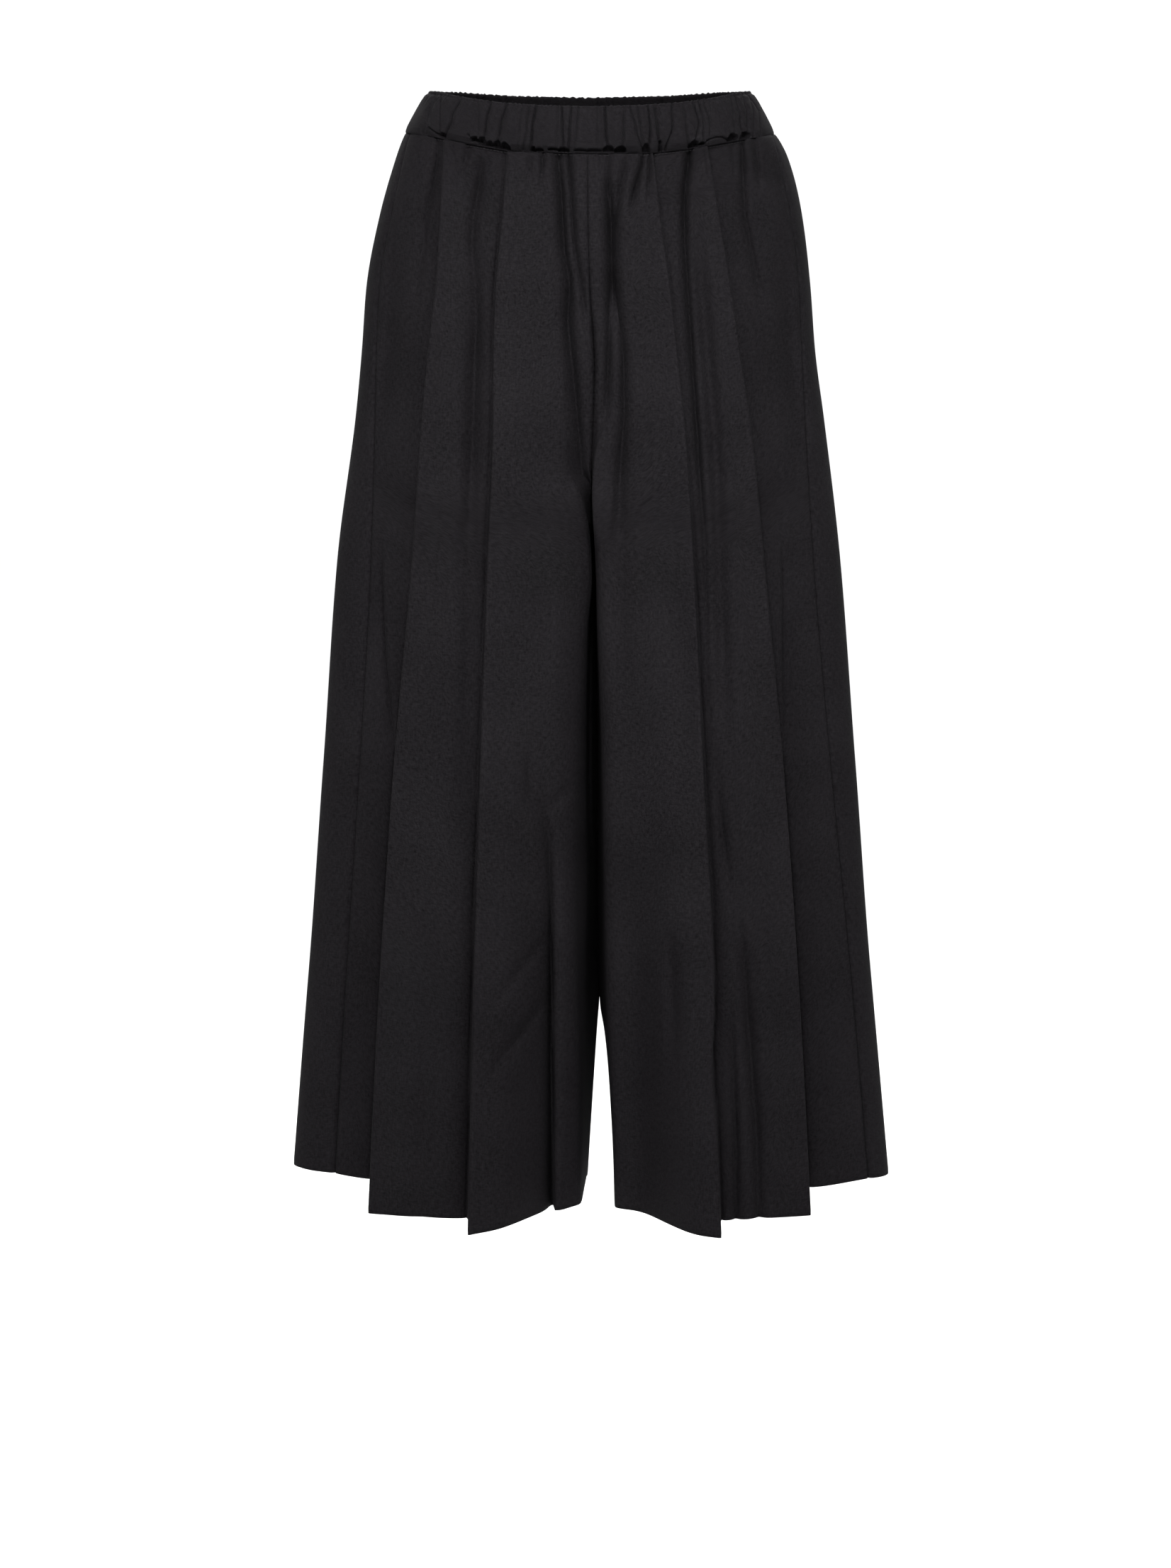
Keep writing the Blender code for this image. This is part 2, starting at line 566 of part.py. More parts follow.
def make_band(face):
    """One half of the waistband casing, gathered, from side to side."""
    per_gather = 3
    columns = BAND_GATHERS * per_gather + 1
    turn = np.linspace(0.0, math.pi, columns)
    turn[0] += 0.15 / 147.0
    turn[-1] -= 0.15 / 147.0
    heights = np.array([0.0, 0.16, 0.55, 1.0])
    across = np.cos(turn)
    bow = np.sin(turn) ** 0.92
    sign = 1.0 if face == "front" else -1.0
    grid = np.empty((len(heights), columns, 3))
    top = np.interp(np.abs(across), [row[0] for row in BAND_TOP], [row[1] for row in BAND_TOP])
    if face == "back":
        top = np.interp(np.abs(across), [0.0, 0.5, 0.85, 1.0], [16.0, 17.5, 20.5, 21.0])
    for r, (v, width, front, back) in enumerate(BAND_RINGS):
        depth = front if face == "front" else back
        wave = np.sin(turn * BAND_GATHERS * 2.0 + 0.9 * np.sin(3.1 * turn))
        ripple = BAND_GATHER_DEPTH * (0.55 + 0.45 * math.sin(math.pi * min(1.0, v + 0.25))) * wave
        ripple = ripple * smooth((turn - 0.02) / 0.06) * smooth((math.pi - 0.02 - turn) / 0.06)
        grid[r, :, 0] = (width + ripple * np.abs(across)) * across
        grid[r, :, 1] = -sign * (depth + ripple) * bow
        seam = seam_height(148.0 * across, sign * 99.0 * bow) + 0.25 + SEAM
        grid[r, :, 2] = seam + (top - seam) * v
    ahead = np.gradient(grid[..., :2], axis=1)
    ahead /= np.hypot(ahead[..., 0], ahead[..., 1])[..., None]
    normal = np.stack([-ahead[..., 1], ahead[..., 0]], -1) * sign
    outer = grid.copy()
    inner = grid.copy()
    outer[..., :2] += normal * BAND_WALL / 2
    inner[..., :2] -= normal * BAND_WALL / 2
    for side_grid in (outer, inner):
        side_grid[:, 0, 1] = -sign * SEAM / 2
        side_grid[:, -1, 1] = -sign * SEAM / 2
    solid_from_faces(outer, inner, f"waistband_{face}", (0.03, 0.03, 0.032), flip=face == "front")


for old in list(bpy.data.objects):
    bpy.data.objects.remove(old)

make_leg("right")
make_leg("left")
make_band("front")
make_band("back")
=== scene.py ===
"""Looks of the pleated wide-leg trousers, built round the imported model.

World metres, +Z up, the front faces -Y, so the right leg is at -X. The tables are in millimetres: u is
the distance out from the middle plane (x = -u for the right leg, x = +u for the left) and f is the
distance forward (y = -f). Each leg is one sheet of cloth laid round rods, as a belt runs round pulleys,
and then soft folds are pushed into it. The waistband is a gathered casing.
"""

import math

import bpy
import numpy as np
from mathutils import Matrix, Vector


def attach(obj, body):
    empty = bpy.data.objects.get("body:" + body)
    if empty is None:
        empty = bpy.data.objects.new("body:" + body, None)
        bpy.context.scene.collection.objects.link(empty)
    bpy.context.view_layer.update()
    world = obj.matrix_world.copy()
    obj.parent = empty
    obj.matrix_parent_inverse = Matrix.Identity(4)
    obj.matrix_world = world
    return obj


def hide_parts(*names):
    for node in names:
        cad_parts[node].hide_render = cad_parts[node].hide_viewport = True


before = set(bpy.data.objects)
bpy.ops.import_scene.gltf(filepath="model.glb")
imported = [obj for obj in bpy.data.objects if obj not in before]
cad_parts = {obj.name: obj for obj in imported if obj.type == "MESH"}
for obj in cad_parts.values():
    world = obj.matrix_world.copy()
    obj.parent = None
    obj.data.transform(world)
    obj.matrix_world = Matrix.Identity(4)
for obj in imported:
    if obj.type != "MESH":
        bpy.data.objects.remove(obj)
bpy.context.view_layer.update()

# ---- sizes, in millimetres ----

MIRROR = {"right": -1.0, "left": 1.0}    # sign of x for a distance out
FACING = {"front": 1.0, "back": -1.0}    # sign of a distance forward
BESIDE = 0.35         # how much further apart the legs' edges are set where they lie side by side
CLOTH = 0.8           # thickness of the suiting as it shows
SEAM = 0.06           # gap between two sewn pieces
HEM_DEPTH = 36.0      # cloth turned up inside the hem
HEM_CLOTH = 0.7       # thickness that it adds

# Front rise and centre back: height z, place x across, distance forward f.
FRONT_RISE = (
    (-10, -2, 97), (-75, -1.5, 105.5), (-130, 0, 112.5), (-185, 3.5, 115), (-225, 4.5, 110),
    (-250, 5.5, 98), (-275, 6.5, 78), (-300, 6.5, 48), (-320, 5.5, 14), (-332, 4, -10),
)
BACK_RISE = (
    (-10, 0, -100), (-60, 0, -116), (-130, 0, -131), (-190, 0, -136), (-240, 0, -131), (-270, 0, -114),
    (-295, 0.5, -83), (-315, 1.5, -46), (-332, 4, -10),
)
CROTCH_Z = -332.0

# Inseams below the crotch: height z, distance out u, distance forward f.
INSEAM = {
    "right": (
        (-332, -4, -10), (-350, -4.7, -22), (-400, -6.5, -34), (-515, -8, -35), (-690, -8.5, -33),
        (-716, -7.6, -28), (-736, -6, -22), (-765, -4, -16), (-820, -0.5, -12), (-880, 3, -12),
    ),
    "left": (
        (-332, 4, -10), (-350, 4.6, -4), (-400, 5.5, 3), (-515, 7, 4), (-690, 7.5, 3), (-716, 8.8, 0),
        (-740, 12.4, -6), (-765, 15, -10), (-820, 18.5, -12), (-880, 21.5, -12),
    ),
}

# Rods round which the cloth of a leg turns, from the front rise outward and back to the back rise. The
# number is -1 where the cloth bends round the leg and 1 where it bends the other way, in a valley.
# Then come the heights z, the centres u and f, and the radii. First the columns that rods share:
DOWN = (-10, -75, -130, -185, -240, -350, -515, -690, -880)
DOWN_SIDE = (-10, -30, -75, -130, -185, -240, -350, -515, -690, -880)
DOWN_INNER = (-10, -75, -130, -185, -250, -300, -350, -515, -690, -880)
EDGE_RADII = (1.15, 1.15, 1.15, 1.15, 1.15, 1.15, 1.3, 1.5, 1.6)
VALLEY_RADII = (1.15, 1.15, 1.15, 1.15, 1.15, 1.3, 1.6, 1.9, 2.2)
DEEP_VALLEY_RADII = (1.15, 1.15, 1.15, 1.15, 1.3, 2, 2.5, 3, 3)
SIDE_FORWARD = (3, 3, 4, 2, 0, 0, -2, -4, -6, -8)
SIDE_RADII = (68, 67, 63, 60, 56.5, 52, 46, 39, 36, 36)
OUTER_FORWARD = (-36, -56, -66, -72, -74, -70, -72, -82, -95)
OUTER_RADII = (48, 50, 50, 50, 50, 50, 50, 50, 50)
INNER_FORWARD = (-86, -105, -117, -123, -120, -116, -112, -110, -120, -135)
INNER_RADII = (15, 16, 18, 18, 18, 18, 18, 18, 18, 18)
RODS = {
    "right": {
        "inner_front": (-1, (-10, -75, -130, -185, -240, -300, -350, -515, -690, -880),
            (16, 18, 20, 22, 24, 26, 26, 29, 25, 22), (86.5, 96, 103.5, 107, 103, 99, 98, 98, 97, 96),
            (11, 11, 11, 11, 14, 15, 15, 15, 15, 14)),
        "inner_edge": (-1, DOWN, (62, 67, 72, 74, 74.5, 79, 85, 90, 94.5),
            (91, 103, 112, 117, 120, 125, 136, 152, 173), EDGE_RADII),
        "inner_valley": (1, DOWN, (40, 44, 48, 50, 50, 54, 60, 66, 72),
            (91, 102, 110.5, 114.5, 116.5, 117.5, 125.5, 134, 144), VALLEY_RADII),
        "outer_edge": (-1, DOWN, (113, 116, 119.5, 126, 131, 139, 154, 165.5, 175.5),
            (69, 82, 90.5, 94.5, 97, 101, 107, 115, 124), EDGE_RADII),
        "outer_valley": (1, DOWN, (92, 94, 97, 102, 107, 117, 138, 152, 165),
            (73.5, 86.5, 94.5, 98, 98, 91, 74, 63, 54), DEEP_VALLEY_RADII),
        "side": (-1, DOWN_SIDE, (79.5, 87, 104, 118, 126, 136, 157, 176.5, 193, 209), SIDE_FORWARD,
            SIDE_RADII),
        "back_outer": (-1, DOWN, (84, 88, 102, 108, 112, 128, 138, 148, 160), OUTER_FORWARD, OUTER_RADII),
        "back_inner": (-1, DOWN_INNER, (20, 24, 28, 32, 31, 29, 28, 30, 29, 27), INNER_FORWARD,
            INNER_RADII),
    },
    "left": {
        "inner_front": (-1, (-10, -75, -130, -185, -240, -300, -350, -515, -690, -820, -880),
            (16, 18, 21, 25, 24, 21, 20.5, 25, 28, 34, 35.5),
            (86.5, 96, 103.5, 107, 104, 99.5, 98, 98, 97, 97, 97),
            (11, 11, 11, 11, 14, 15, 15, 15, 15, 15, 15)),
        "inner_edge": (-1, (-10, -75, -130, -185, -240, -350, -515, -690, -735, -790, -880),
            (46, 53.5, 61, 67, 73, 80, 88, 96, 94.5, 98, 102),
            (93.5, 104.5, 113, 118, 120.5, 126, 137, 154, 158, 165, 175),
            (1.15, 1.15, 1.15, 1.15, 1.15, 1.15, 1.3, 1.5, 1.5, 1.5, 1.6)),
        "inner_valley": (1, DOWN, (25, 31, 37, 43, 48, 55, 63, 72, 79),
            (92, 102.5, 111, 115, 117, 118, 126.5, 136, 146), VALLEY_RADII),
        "outer_edge": (-1, DOWN, (89, 99.5, 108.5, 116.5, 125, 136, 152, 164.5, 175),
            (79.5, 87.5, 94, 97.5, 98.5, 102, 107, 115, 123), EDGE_RADII),
        "outer_valley": (1, DOWN, (68, 77, 85, 92, 101, 114, 136, 151, 166),
            (82.5, 92, 98.5, 101.5, 101.5, 94, 80, 71, 65), DEEP_VALLEY_RADII),
        "side": (-1, DOWN_SIDE, (80, 90.5, 106, 116, 124, 136, 155.5, 176, 193, 211), SIDE_FORWARD,
            SIDE_RADII),
        "back_outer": (-1, DOWN, (84, 88, 102, 108, 112, 128, 138, 148, 162), OUTER_FORWARD, OUTER_RADII),
        "back_inner": (-1, DOWN_INNER, (20, 24, 28, 32, 31, 30, 32, 37, 38, 46), INNER_FORWARD,
            INNER_RADII),
    },
}

# Outseam: distance out u at the heights DOWN.
OUTSEAM = {
    "right": (144, 158, 168, 171, 172.5, 176, 186, 198, 209.5),
    "left": (146, 160, 167, 170, 173, 180, 195, 213, 230),
}

# Height of the waist seam: place x across, height at the front and at the back of the ring.
WAIST_SEAM = (
    (-150, -11, -11), (-130, -13, -12.5), (-102, -18.5, -14), (-64, -25, -16), (0, -27, -18),
    (49, -26.5, -16.5), (77, -23.5, -15.5), (99, -20, -14.5), (130, -15, -13), (150, -12.5, -12.5),
)

# Height of the hem at a leg's stations: the front rise, the front's five rods, the outseam, the side
# rod, the back's two rods and the back rise.
HEM = {
    "right": (-858, -862, -870.5, -867.5, -864, -857, -851, -850, -856, -861, -862),
    "left": (-862, -865, -871.5, -868.5, -865.5, -861, -857, -858, -861, -864, -862),
}

# Soft folds of a leg. Each row is one trough (depth below 0) or ridge (above 0): its half width, and
# the places on its line as (height z, distance out u, depth).
SOFT_FOLDS = {
    ("right", "front"): (
        # main falls of the front
        (9, (-20, 22, -2), (-130, 18, -3), (-245, 10, 0)),
        (13, (-20, 88, -1.5), (-90, 90, -3), (-140, 92, -3), (-300, 92, 0)),
        (9, (-340, 153, 0), (-430, 148, -4), (-520, 158, 0)),
        (22, (-420, 60, 0), (-640, 66, 7), (-880, 72, 14)),
        # beside the centre seam
        (3.8, (-20, 24, -5), (-37, 24.1, -9), (-56, 22.2, -12.5), (-78, 21.3, -14), (-100, 20.2, -13.5),
         (-127, 15.6, -9.5), (-155, 17.5, -9.5), (-182, 14.8, -9), (-210, 11, -9), (-240, 6.6, -9),
         (-265, 1.4, -8), (-290, 0.5, -4), (-315, 0.5, 0)),
        (5.5, (-105, 19, 0), (-130, 17.5, -2.5), (-182, 15.5, -3.5), (-235, 11, -2), (-262, 8, 0)),
        (2.8, (-20, 17, -4), (-37, 16, -7.4), (-56, 14.6, -7.6), (-78, 13.5, -8.4), (-100, 11.8, -8),
         (-127, 7.3, -7), (-148, 4.2, -5), (-165, 2, 0)),
        # outside the inner pleat
        (3.8, (-28, 84, 0), (-37, 85.2, -5.6), (-56, 87.5, -9), (-78, 91.4, -6.5), (-100, 92.6, -7.4),
         (-127, 89.5, -5), (-155, 88.6, -5.6), (-182, 90, -6.4), (-215, 91, -4.6), (-270, 93, -3.6),
         (-330, 96, 0)),
        (8, (-120, 92, 0), (-182, 90, -7), (-270, 92, -7), (-350, 94, -4), (-411, 94, -6), (-500, 95, -4),
         (-600, 98, 0)),
        # side of the hip, just outside the outer pleat
        (3.6, (-14, 119, -4), (-37, 120.5, -7.6), (-56, 123.5, -7), (-78, 129.5, -5.4), (-100, 130.5, -4.4),
         (-127, 136, -3.4), (-152, 139, 0)),
        (9, (-78, 152, 0), (-127, 158, -5), (-200, 162, -6), (-280, 168, 0)),
        # short gathers under the casing
        (2.5, (-20, 36, -4), (-36, 37, -6.4), (-50, 38.5, -2.6), (-62, 39.5, 0)),
        (2.4, (-26, 46, -1.6), (-37, 46.6, -3.6), (-50, 47, 0)),
        (2.4, (-20, 94, -3.8), (-38, 99, -2.5), (-56, 101, 0)),
        (2.2, (-22, 66, -1.7), (-42, 67, -1.1), (-58, 67, 0)),
        (2.2, (-20, 108, -1.7), (-37, 108, -1.4), (-60, 110, 0)),
        # knee and calf
        (3.6, (-490, 49, 0), (-505, 48.5, -4.2), (-530, 46.8, -4), (-543, 37.3, -5), (-563, 31.7, -6),
         (-620, 31, -7.5), (-700, 31.5, -10), (-880, 31.5, -11)),
        (12, (-290, 3, 0), (-340, 4, -9), (-411, 4, -15), (-500, 4, -12), (-563, 4, -7), (-640, 4, 0)),
        (6.5, (-560, 20, 0), (-640, 21, 2), (-880, 21, 2.4)),
        (3.6, (-640, 31.7, -0.8), (-655, 44, -3.2), (-666, 55, -3.6), (-684, 70, -2.7), (-694, 80, 0)),
        (4, (-690, 32, -0.8), (-705, 44, -3.8), (-719, 55, -4.8), (-735, 71, -4), (-757, 85, 0)),
        (3, (-522, 13, 0), (-528, 19, -3.8), (-536, 29, -2.5), (-542, 36, 0)),
        (7, (-560, 120, 0), (-660, 124, -2.1), (-760, 130, -2.7), (-880, 134, -1.5)),
        (6, (-420, 108, 0), (-520, 112, 1.8), (-640, 118, 0)),
    ),
    ("right", "back"): (
        (15, (-12, 40, -3), (-260, 46, -7), (-560, 52, 0)),
        (19, (-12, 78, -3), (-350, 92, -9), (-880, 96, -15)),
        (19, (-60, 112, 0), (-400, 134, 5), (-880, 148, 10)),
        (17, (-300, 62, 0), (-600, 66, 4), (-880, 62, 9)),
        (5, (-12, 22, -2.4), (-90, 25, -2), (-210, 31, 0)),
        (4, (-12, 56, -2.6), (-70, 60, -2.2), (-160, 66, 0)),
        (4.2, (-12, 99, -2.8), (-80, 108, -2.4), (-190, 116, 0)),
        (3.2, (-12, 10, -1.8), (-60, 11, -1.2), (-120, 13, 0)),
        (3.6, (-12, 118, -2.2), (-60, 128, -1.6), (-130, 136, 0)),
        (3, (-12, 68, -1.6), (-40, 71, -1.2), (-75, 73, 0)),
        (6.5, (-560, 40, 0), (-640, 38, -3.2), (-760, 41, -2.6), (-880, 43, -1.6)),
        (4.5, (-520, 120, 0), (-545, 104, -2.2), (-566, 84, -1.6), (-580, 70, 0)),
        (4, (-350, 30, 0), (-372, 52, -1.8), (-398, 74, -1.4), (-420, 92, 0)),
    ),
    ("left", "front"): (
        # main falls of the front
        (3, (-18, 77.5, -7), (-37, 76.9, -12), (-56, 74.4, -11.5), (-78, 73.8, -11.5), (-100, 74.4, -10.5),
         (-127, 76.3, -11.5), (-155, 78, -12), (-182, 79.7, -12.5), (-237, 83.5, -12), (-270, 85.8, -11),
         (-330, 90.5, -5.5), (-430, 93, -2.4), (-520, 96, 0)),
        (6.5, (-80, 84, 0), (-127, 86.5, -7.5), (-182, 91.5, -8.5), (-270, 99, -8), (-340, 101, -6),
         (-411, 104, -7), (-500, 106, 0)),
        (9, (-60, 62, 0), (-130, 66, 2.4), (-260, 72, 2.1), (-380, 80, 0)),
        (9, (-340, 166, 0), (-420, 160, -4), (-520, 158, 0)),
        (22, (-420, 60, 0), (-600, 70, 7), (-720, 78, 14), (-880, 82, 18)),
        # the deep fall beside the centre seam, which parts in two above and below
        (4.9, (-46, 17, 0), (-72, 16.8, -11), (-100, 16.8, -18), (-127, 17.6, -15), (-150, 18.6, -6),
         (-176, 20, 0)),
        (3.2, (-20, 14, -3.4), (-37, 13.8, -4.2), (-56, 13.8, -8), (-78, 15.6, -6), (-95, 16.6, 0)),
        (3.6, (-26, 29, 0), (-40, 27, -5), (-60, 22.5, -7), (-80, 18.8, -5), (-98, 17.4, 0)),
        (3.2, (-112, 17.2, 0), (-138, 15.6, -6), (-182, 14.6, -10.5), (-215, 14, -7), (-245, 13.5, 0)),
        (3.8, (-112, 17.8, 0), (-138, 20.6, -6), (-182, 26.4, -10), (-230, 27.5, -9), (-270, 26, -9),
         (-330, 24, 0)),
        (9, (-210, 22, 0), (-270, 23, -5), (-340, 22, -4), (-411, 24, -4), (-480, 26, 0)),
        (11, (-360, 74, 0), (-411, 72, -5), (-480, 72, -4), (-560, 74, 0)),
        # under the casing
        (2.8, (-20, 42.5, -6.5), (-37, 40.4, -9.5), (-56, 34.8, -10), (-68, 32.2, -4), (-80, 31, 0)),
        (2.4, (-24, 46.5, -5), (-37, 45.6, -7), (-56, 45.4, -3.4), (-70, 45, 0)),
        (2.4, (-22, 7, -2.4), (-32, 8, -1.8), (-44, 9, 0)),
        (3.2, (-14, 119.5, -7), (-37, 120.4, -11), (-52, 120.8, -7), (-78, 122.6, -6.6), (-100, 127, -6.4),
         (-127, 132, -6.5), (-155, 140, 0)),
        (2.6, (-13, 130, -4.8), (-37, 132.4, -6.6), (-58, 135, 0)),
        (4, (-16, 144, -4), (-40, 149, -6), (-78, 157, -6), (-110, 163, 0)),
        (9, (-78, 152, 0), (-127, 157, -6), (-200, 161, -7), (-280, 168, 0)),
        (2.2, (-18, 90, -2.4), (-36, 92, -1.8), (-56, 93, 0)),
        (2.4, (-17, 112, -3.4), (-37, 113, -3), (-52, 113, 0)),
        # knee and calf
        (17, (-580, 34, 0), (-690, 36, -7.5), (-760, 38, -11), (-880, 41, -14)),
        (5.5, (-630, 62, 0), (-670, 65, -5), (-712, 66, -4), (-760, 64, 0)),
        (3.6, (-470, 99, 0), (-530, 101.5, -3.5), (-565, 105.5, -7), (-592, 109, -3.4), (-612, 111, 0)),
        (4.4, (-625, 119, 0), (-660, 121.5, -6.4), (-715, 126, -9), (-793, 132, -9), (-880, 135, -7)),
        (3.4, (-690, 111, 0), (-720, 112.6, -4.6), (-793, 115.5, -7.4), (-840, 116, -7), (-880, 116, -6)),
        (6, (-420, 115, 0), (-520, 120, 2), (-640, 128, 0)),
    ),
    ("left", "back"): (
        (15, (-12, 34, -3), (-280, 44, -8), (-620, 60, 0)),
        (19, (-12, 84, -3), (-330, 97, -8), (-880, 108, -14)),
        (19, (-60, 118, 0), (-420, 138, 6), (-880, 152, 9)),
        (16, (-350, 72, 0), (-620, 76, 4), (-880, 76, 9)),
        (4.6, (-12, 18, -2.4), (-100, 20, -2.2), (-230, 27, 0)),
        (4, (-12, 62, -2.8), (-80, 66, -2.4), (-150, 70, 0)),
        (4.4, (-12, 105, -2.6), (-70, 115, -2.2), (-170, 121, 0)),
        (3.4, (-12, 48, -1.8), (-50, 50, -1.2), (-95, 52, 0)),
        (3.6, (-12, 122, -2), (-65, 131, -1.5), (-120, 138, 0)),
        (3, (-12, 74, -1.6), (-44, 76, -1.2), (-80, 79, 0)),
        (6, (-520, 44, 0), (-620, 46, -3), (-740, 50, -2.6), (-880, 54, -1.6)),
        (4.5, (-500, 128, 0), (-528, 110, -2), (-556, 92, -1.6), (-575, 76, 0)),
        (4, (-345, 34, 0), (-366, 56, -1.8), (-390, 78, -1.4), (-410, 98, 0)),
    ),
}
BACK_FOLDS_DEEPER = 1.5     # for the back's folds under BACK_FOLD_WIDE in half width
BACK_FOLD_WIDE = 7.0

# Outside a pleat's edge the cloth beneath drops away and climbs back: height z, drop, reach.
PLEAT_DROPS = {
    "right": {
        "inner_edge": (
            (-30, 0.5, 4), (-56, 2.2, 4), (-78, 3.4, 4.5), (-100, 5, 4.5), (-182, 5.5, 5), (-270, 6.5, 6),
            (-411, 9, 10), (-563, 10, 10), (-715, 11, 10), (-880, 12, 11)),
        "outer_edge": (
            (-30, 0, 5), (-78, 0.8, 5), (-182, 2.2, 5), (-270, 2.2, 7), (-411, 4, 9), (-563, 8.5, 12),
            (-715, 8.5, 14), (-880, 10, 14)),
    },
    "left": {
        "inner_edge": (
            (-30, 0, 4), (-78, 1.4, 4), (-182, 1.8, 4), (-270, 4, 5), (-411, 9, 12), (-563, 11, 8),
            (-715, 11, 9), (-880, 12, 9)),
        "outer_edge": (
            (-30, 0, 5), (-78, 0.9, 5), (-182, 2.2, 5), (-270, 4, 7), (-411, 6, 10), (-563, 11, 13),
            (-715, 12, 13), (-880, 13, 13)),
    },
}
# Edges of soft folds that lie over the cloth outside them: height z, distance out u, drop, reach.
LEDGES = {
    "right": (
        ((-545, 33, 0, 8), (-600, 29.5, 3, 10), (-700, 28.4, 14, 17), (-880, 28, 18, 21)),
        ((-330, 164, 0, 8), (-370, 163.5, 7, 8), (-430, 161, 8.5, 8), (-480, 156, 5, 7),
         (-500, 154.5, 0, 7)),
    ),
    "left": (
        ((-330, 150.5, 0, 10), (-370, 151.5, 7, 10), (-430, 152.5, 8.5, 10), (-480, 153, 4, 8),
         (-510, 153, 0, 8)),
    ),
}
# The right leg's front rounds over towards the left leg: height z, move, depth that it takes to round.
ROUND_OVER = (
    (-272, 0, 8), (-290, 7.5, 9), (-305, 11, 12), (-320, 13, 16), (-360, 14, 24), (-400, 11, 30),
    (-500, 10, 40), (-600, 9, 52), (-680, 3, 40), (-780, 2, 30), (-880, 1.5, 30),
)
# The left leg's inner face, which the right leg stays clear of: height z, distance out.
LEFT_FACE = (
    (-272, 6.9), (-300, 6), (-340, 4.9), (-380, 5.4), (-420, 6.2), (-500, 8), (-600, 9), (-700, 10.5),
    (-880, 17),
)
# Both legs sway to the right where they meet: height z, move.
SWAY = ((-190, 0), (-225, 1.6), (-250, 3.6), (-270, 5.2), (-290, 4.6), (-310, 3.4), (-340, 1), (-365, 0))
# Forward move of both legs' edges over the lower rise: height z, move.
RISE_FILL = ((-205, 0), (-235, 3), (-255, 9), (-275, 19), (-292, 24), (-310, 18), (-330, 6), (-345, 0))
# Crease along the centre seam: height z, depth.
SEAM_CREASE = ((-20, 1.6), (-60, 2.6), (-110, 3), (-150, 5), (-182, 7.5), (-215, 6), (-250, 3), (-290, 1))
# How far each leg's sewn edge moves to meet the other's along the rise: height z, move.
RISE_CLOSE = {
    "front": (
        (-200, 0.138), (-230, 0.45), (-250, 0.5), (-270, 0.52), (-285, 0.46), (-300, 0.39), (-310, 0.44),
        (-320, 0.34), (-332, 0.3), (-345, 0),
    ),
    "back": (
        (-215, 0.13), (-230, 0.15), (-250, 0.37), (-270, 0.48), (-285, 0.415), (-300, 0.35), (-332, 0.345),
        (-345, 0),
    ),
}

# Steps of a leg's mesh along each stretch of cloth, from the front rise to the back rise, the heights
# at which its stretches are worked out, and its rows: distance down, gap to the next row.
FRONT_STEPS = (26, 4, 50, 6, 12, 6, 62, 6, 16, 6, 70)
BACK_STEPS = (26, 22, 26, 56, 14, 46)
LEVELS = np.linspace(-8.0, -875.0, 420)
ROW_GAPS = ((0, 1.6), (30, 2.6), (120, 6), (400, 7), (500, 4.8), (760, 4.8), (845, 3.6))
LEG_LENGTH = 845.0

# The casing's ring at parts v of the way from the waist seam (0) to the top fold (1): v, half width,
# reach forward, reach back, on the middle of the casing. BOW is the power of the ring's oval.
BAND_RINGS = (
    (0, 146.2, 97.5, 100), (0.16, 144, 99.5, 101.5), (0.55, 137.2, 97, 97.5), (0.78, 133, 94.8, 94.6),
    (0.93, 129.8, 93.2, 92.4), (1, 127.5, 92.4, 91.4),
)
BOW = 0.92
# Height of the casing's top fold: part of the half width across, height.
BAND_TOP = {
    "front": ((0, 9.5), (0.3, 10.5), (0.55, 12.5), (0.75, 16), (0.9, 19.5), (1, 21)),
    "back": ((0, 16), (0.5, 17.5), (0.85, 20.5), (1, 21)),
}
CASING = 4.2            # whole thickness: two cloths round the elastic
SEAM_RING = (148.0, 99.0)       # half width and reach at which the waist seam's height is read
BAND_COLUMNS = {"front": 1100, "back": 700}
BAND_ROWS = 48

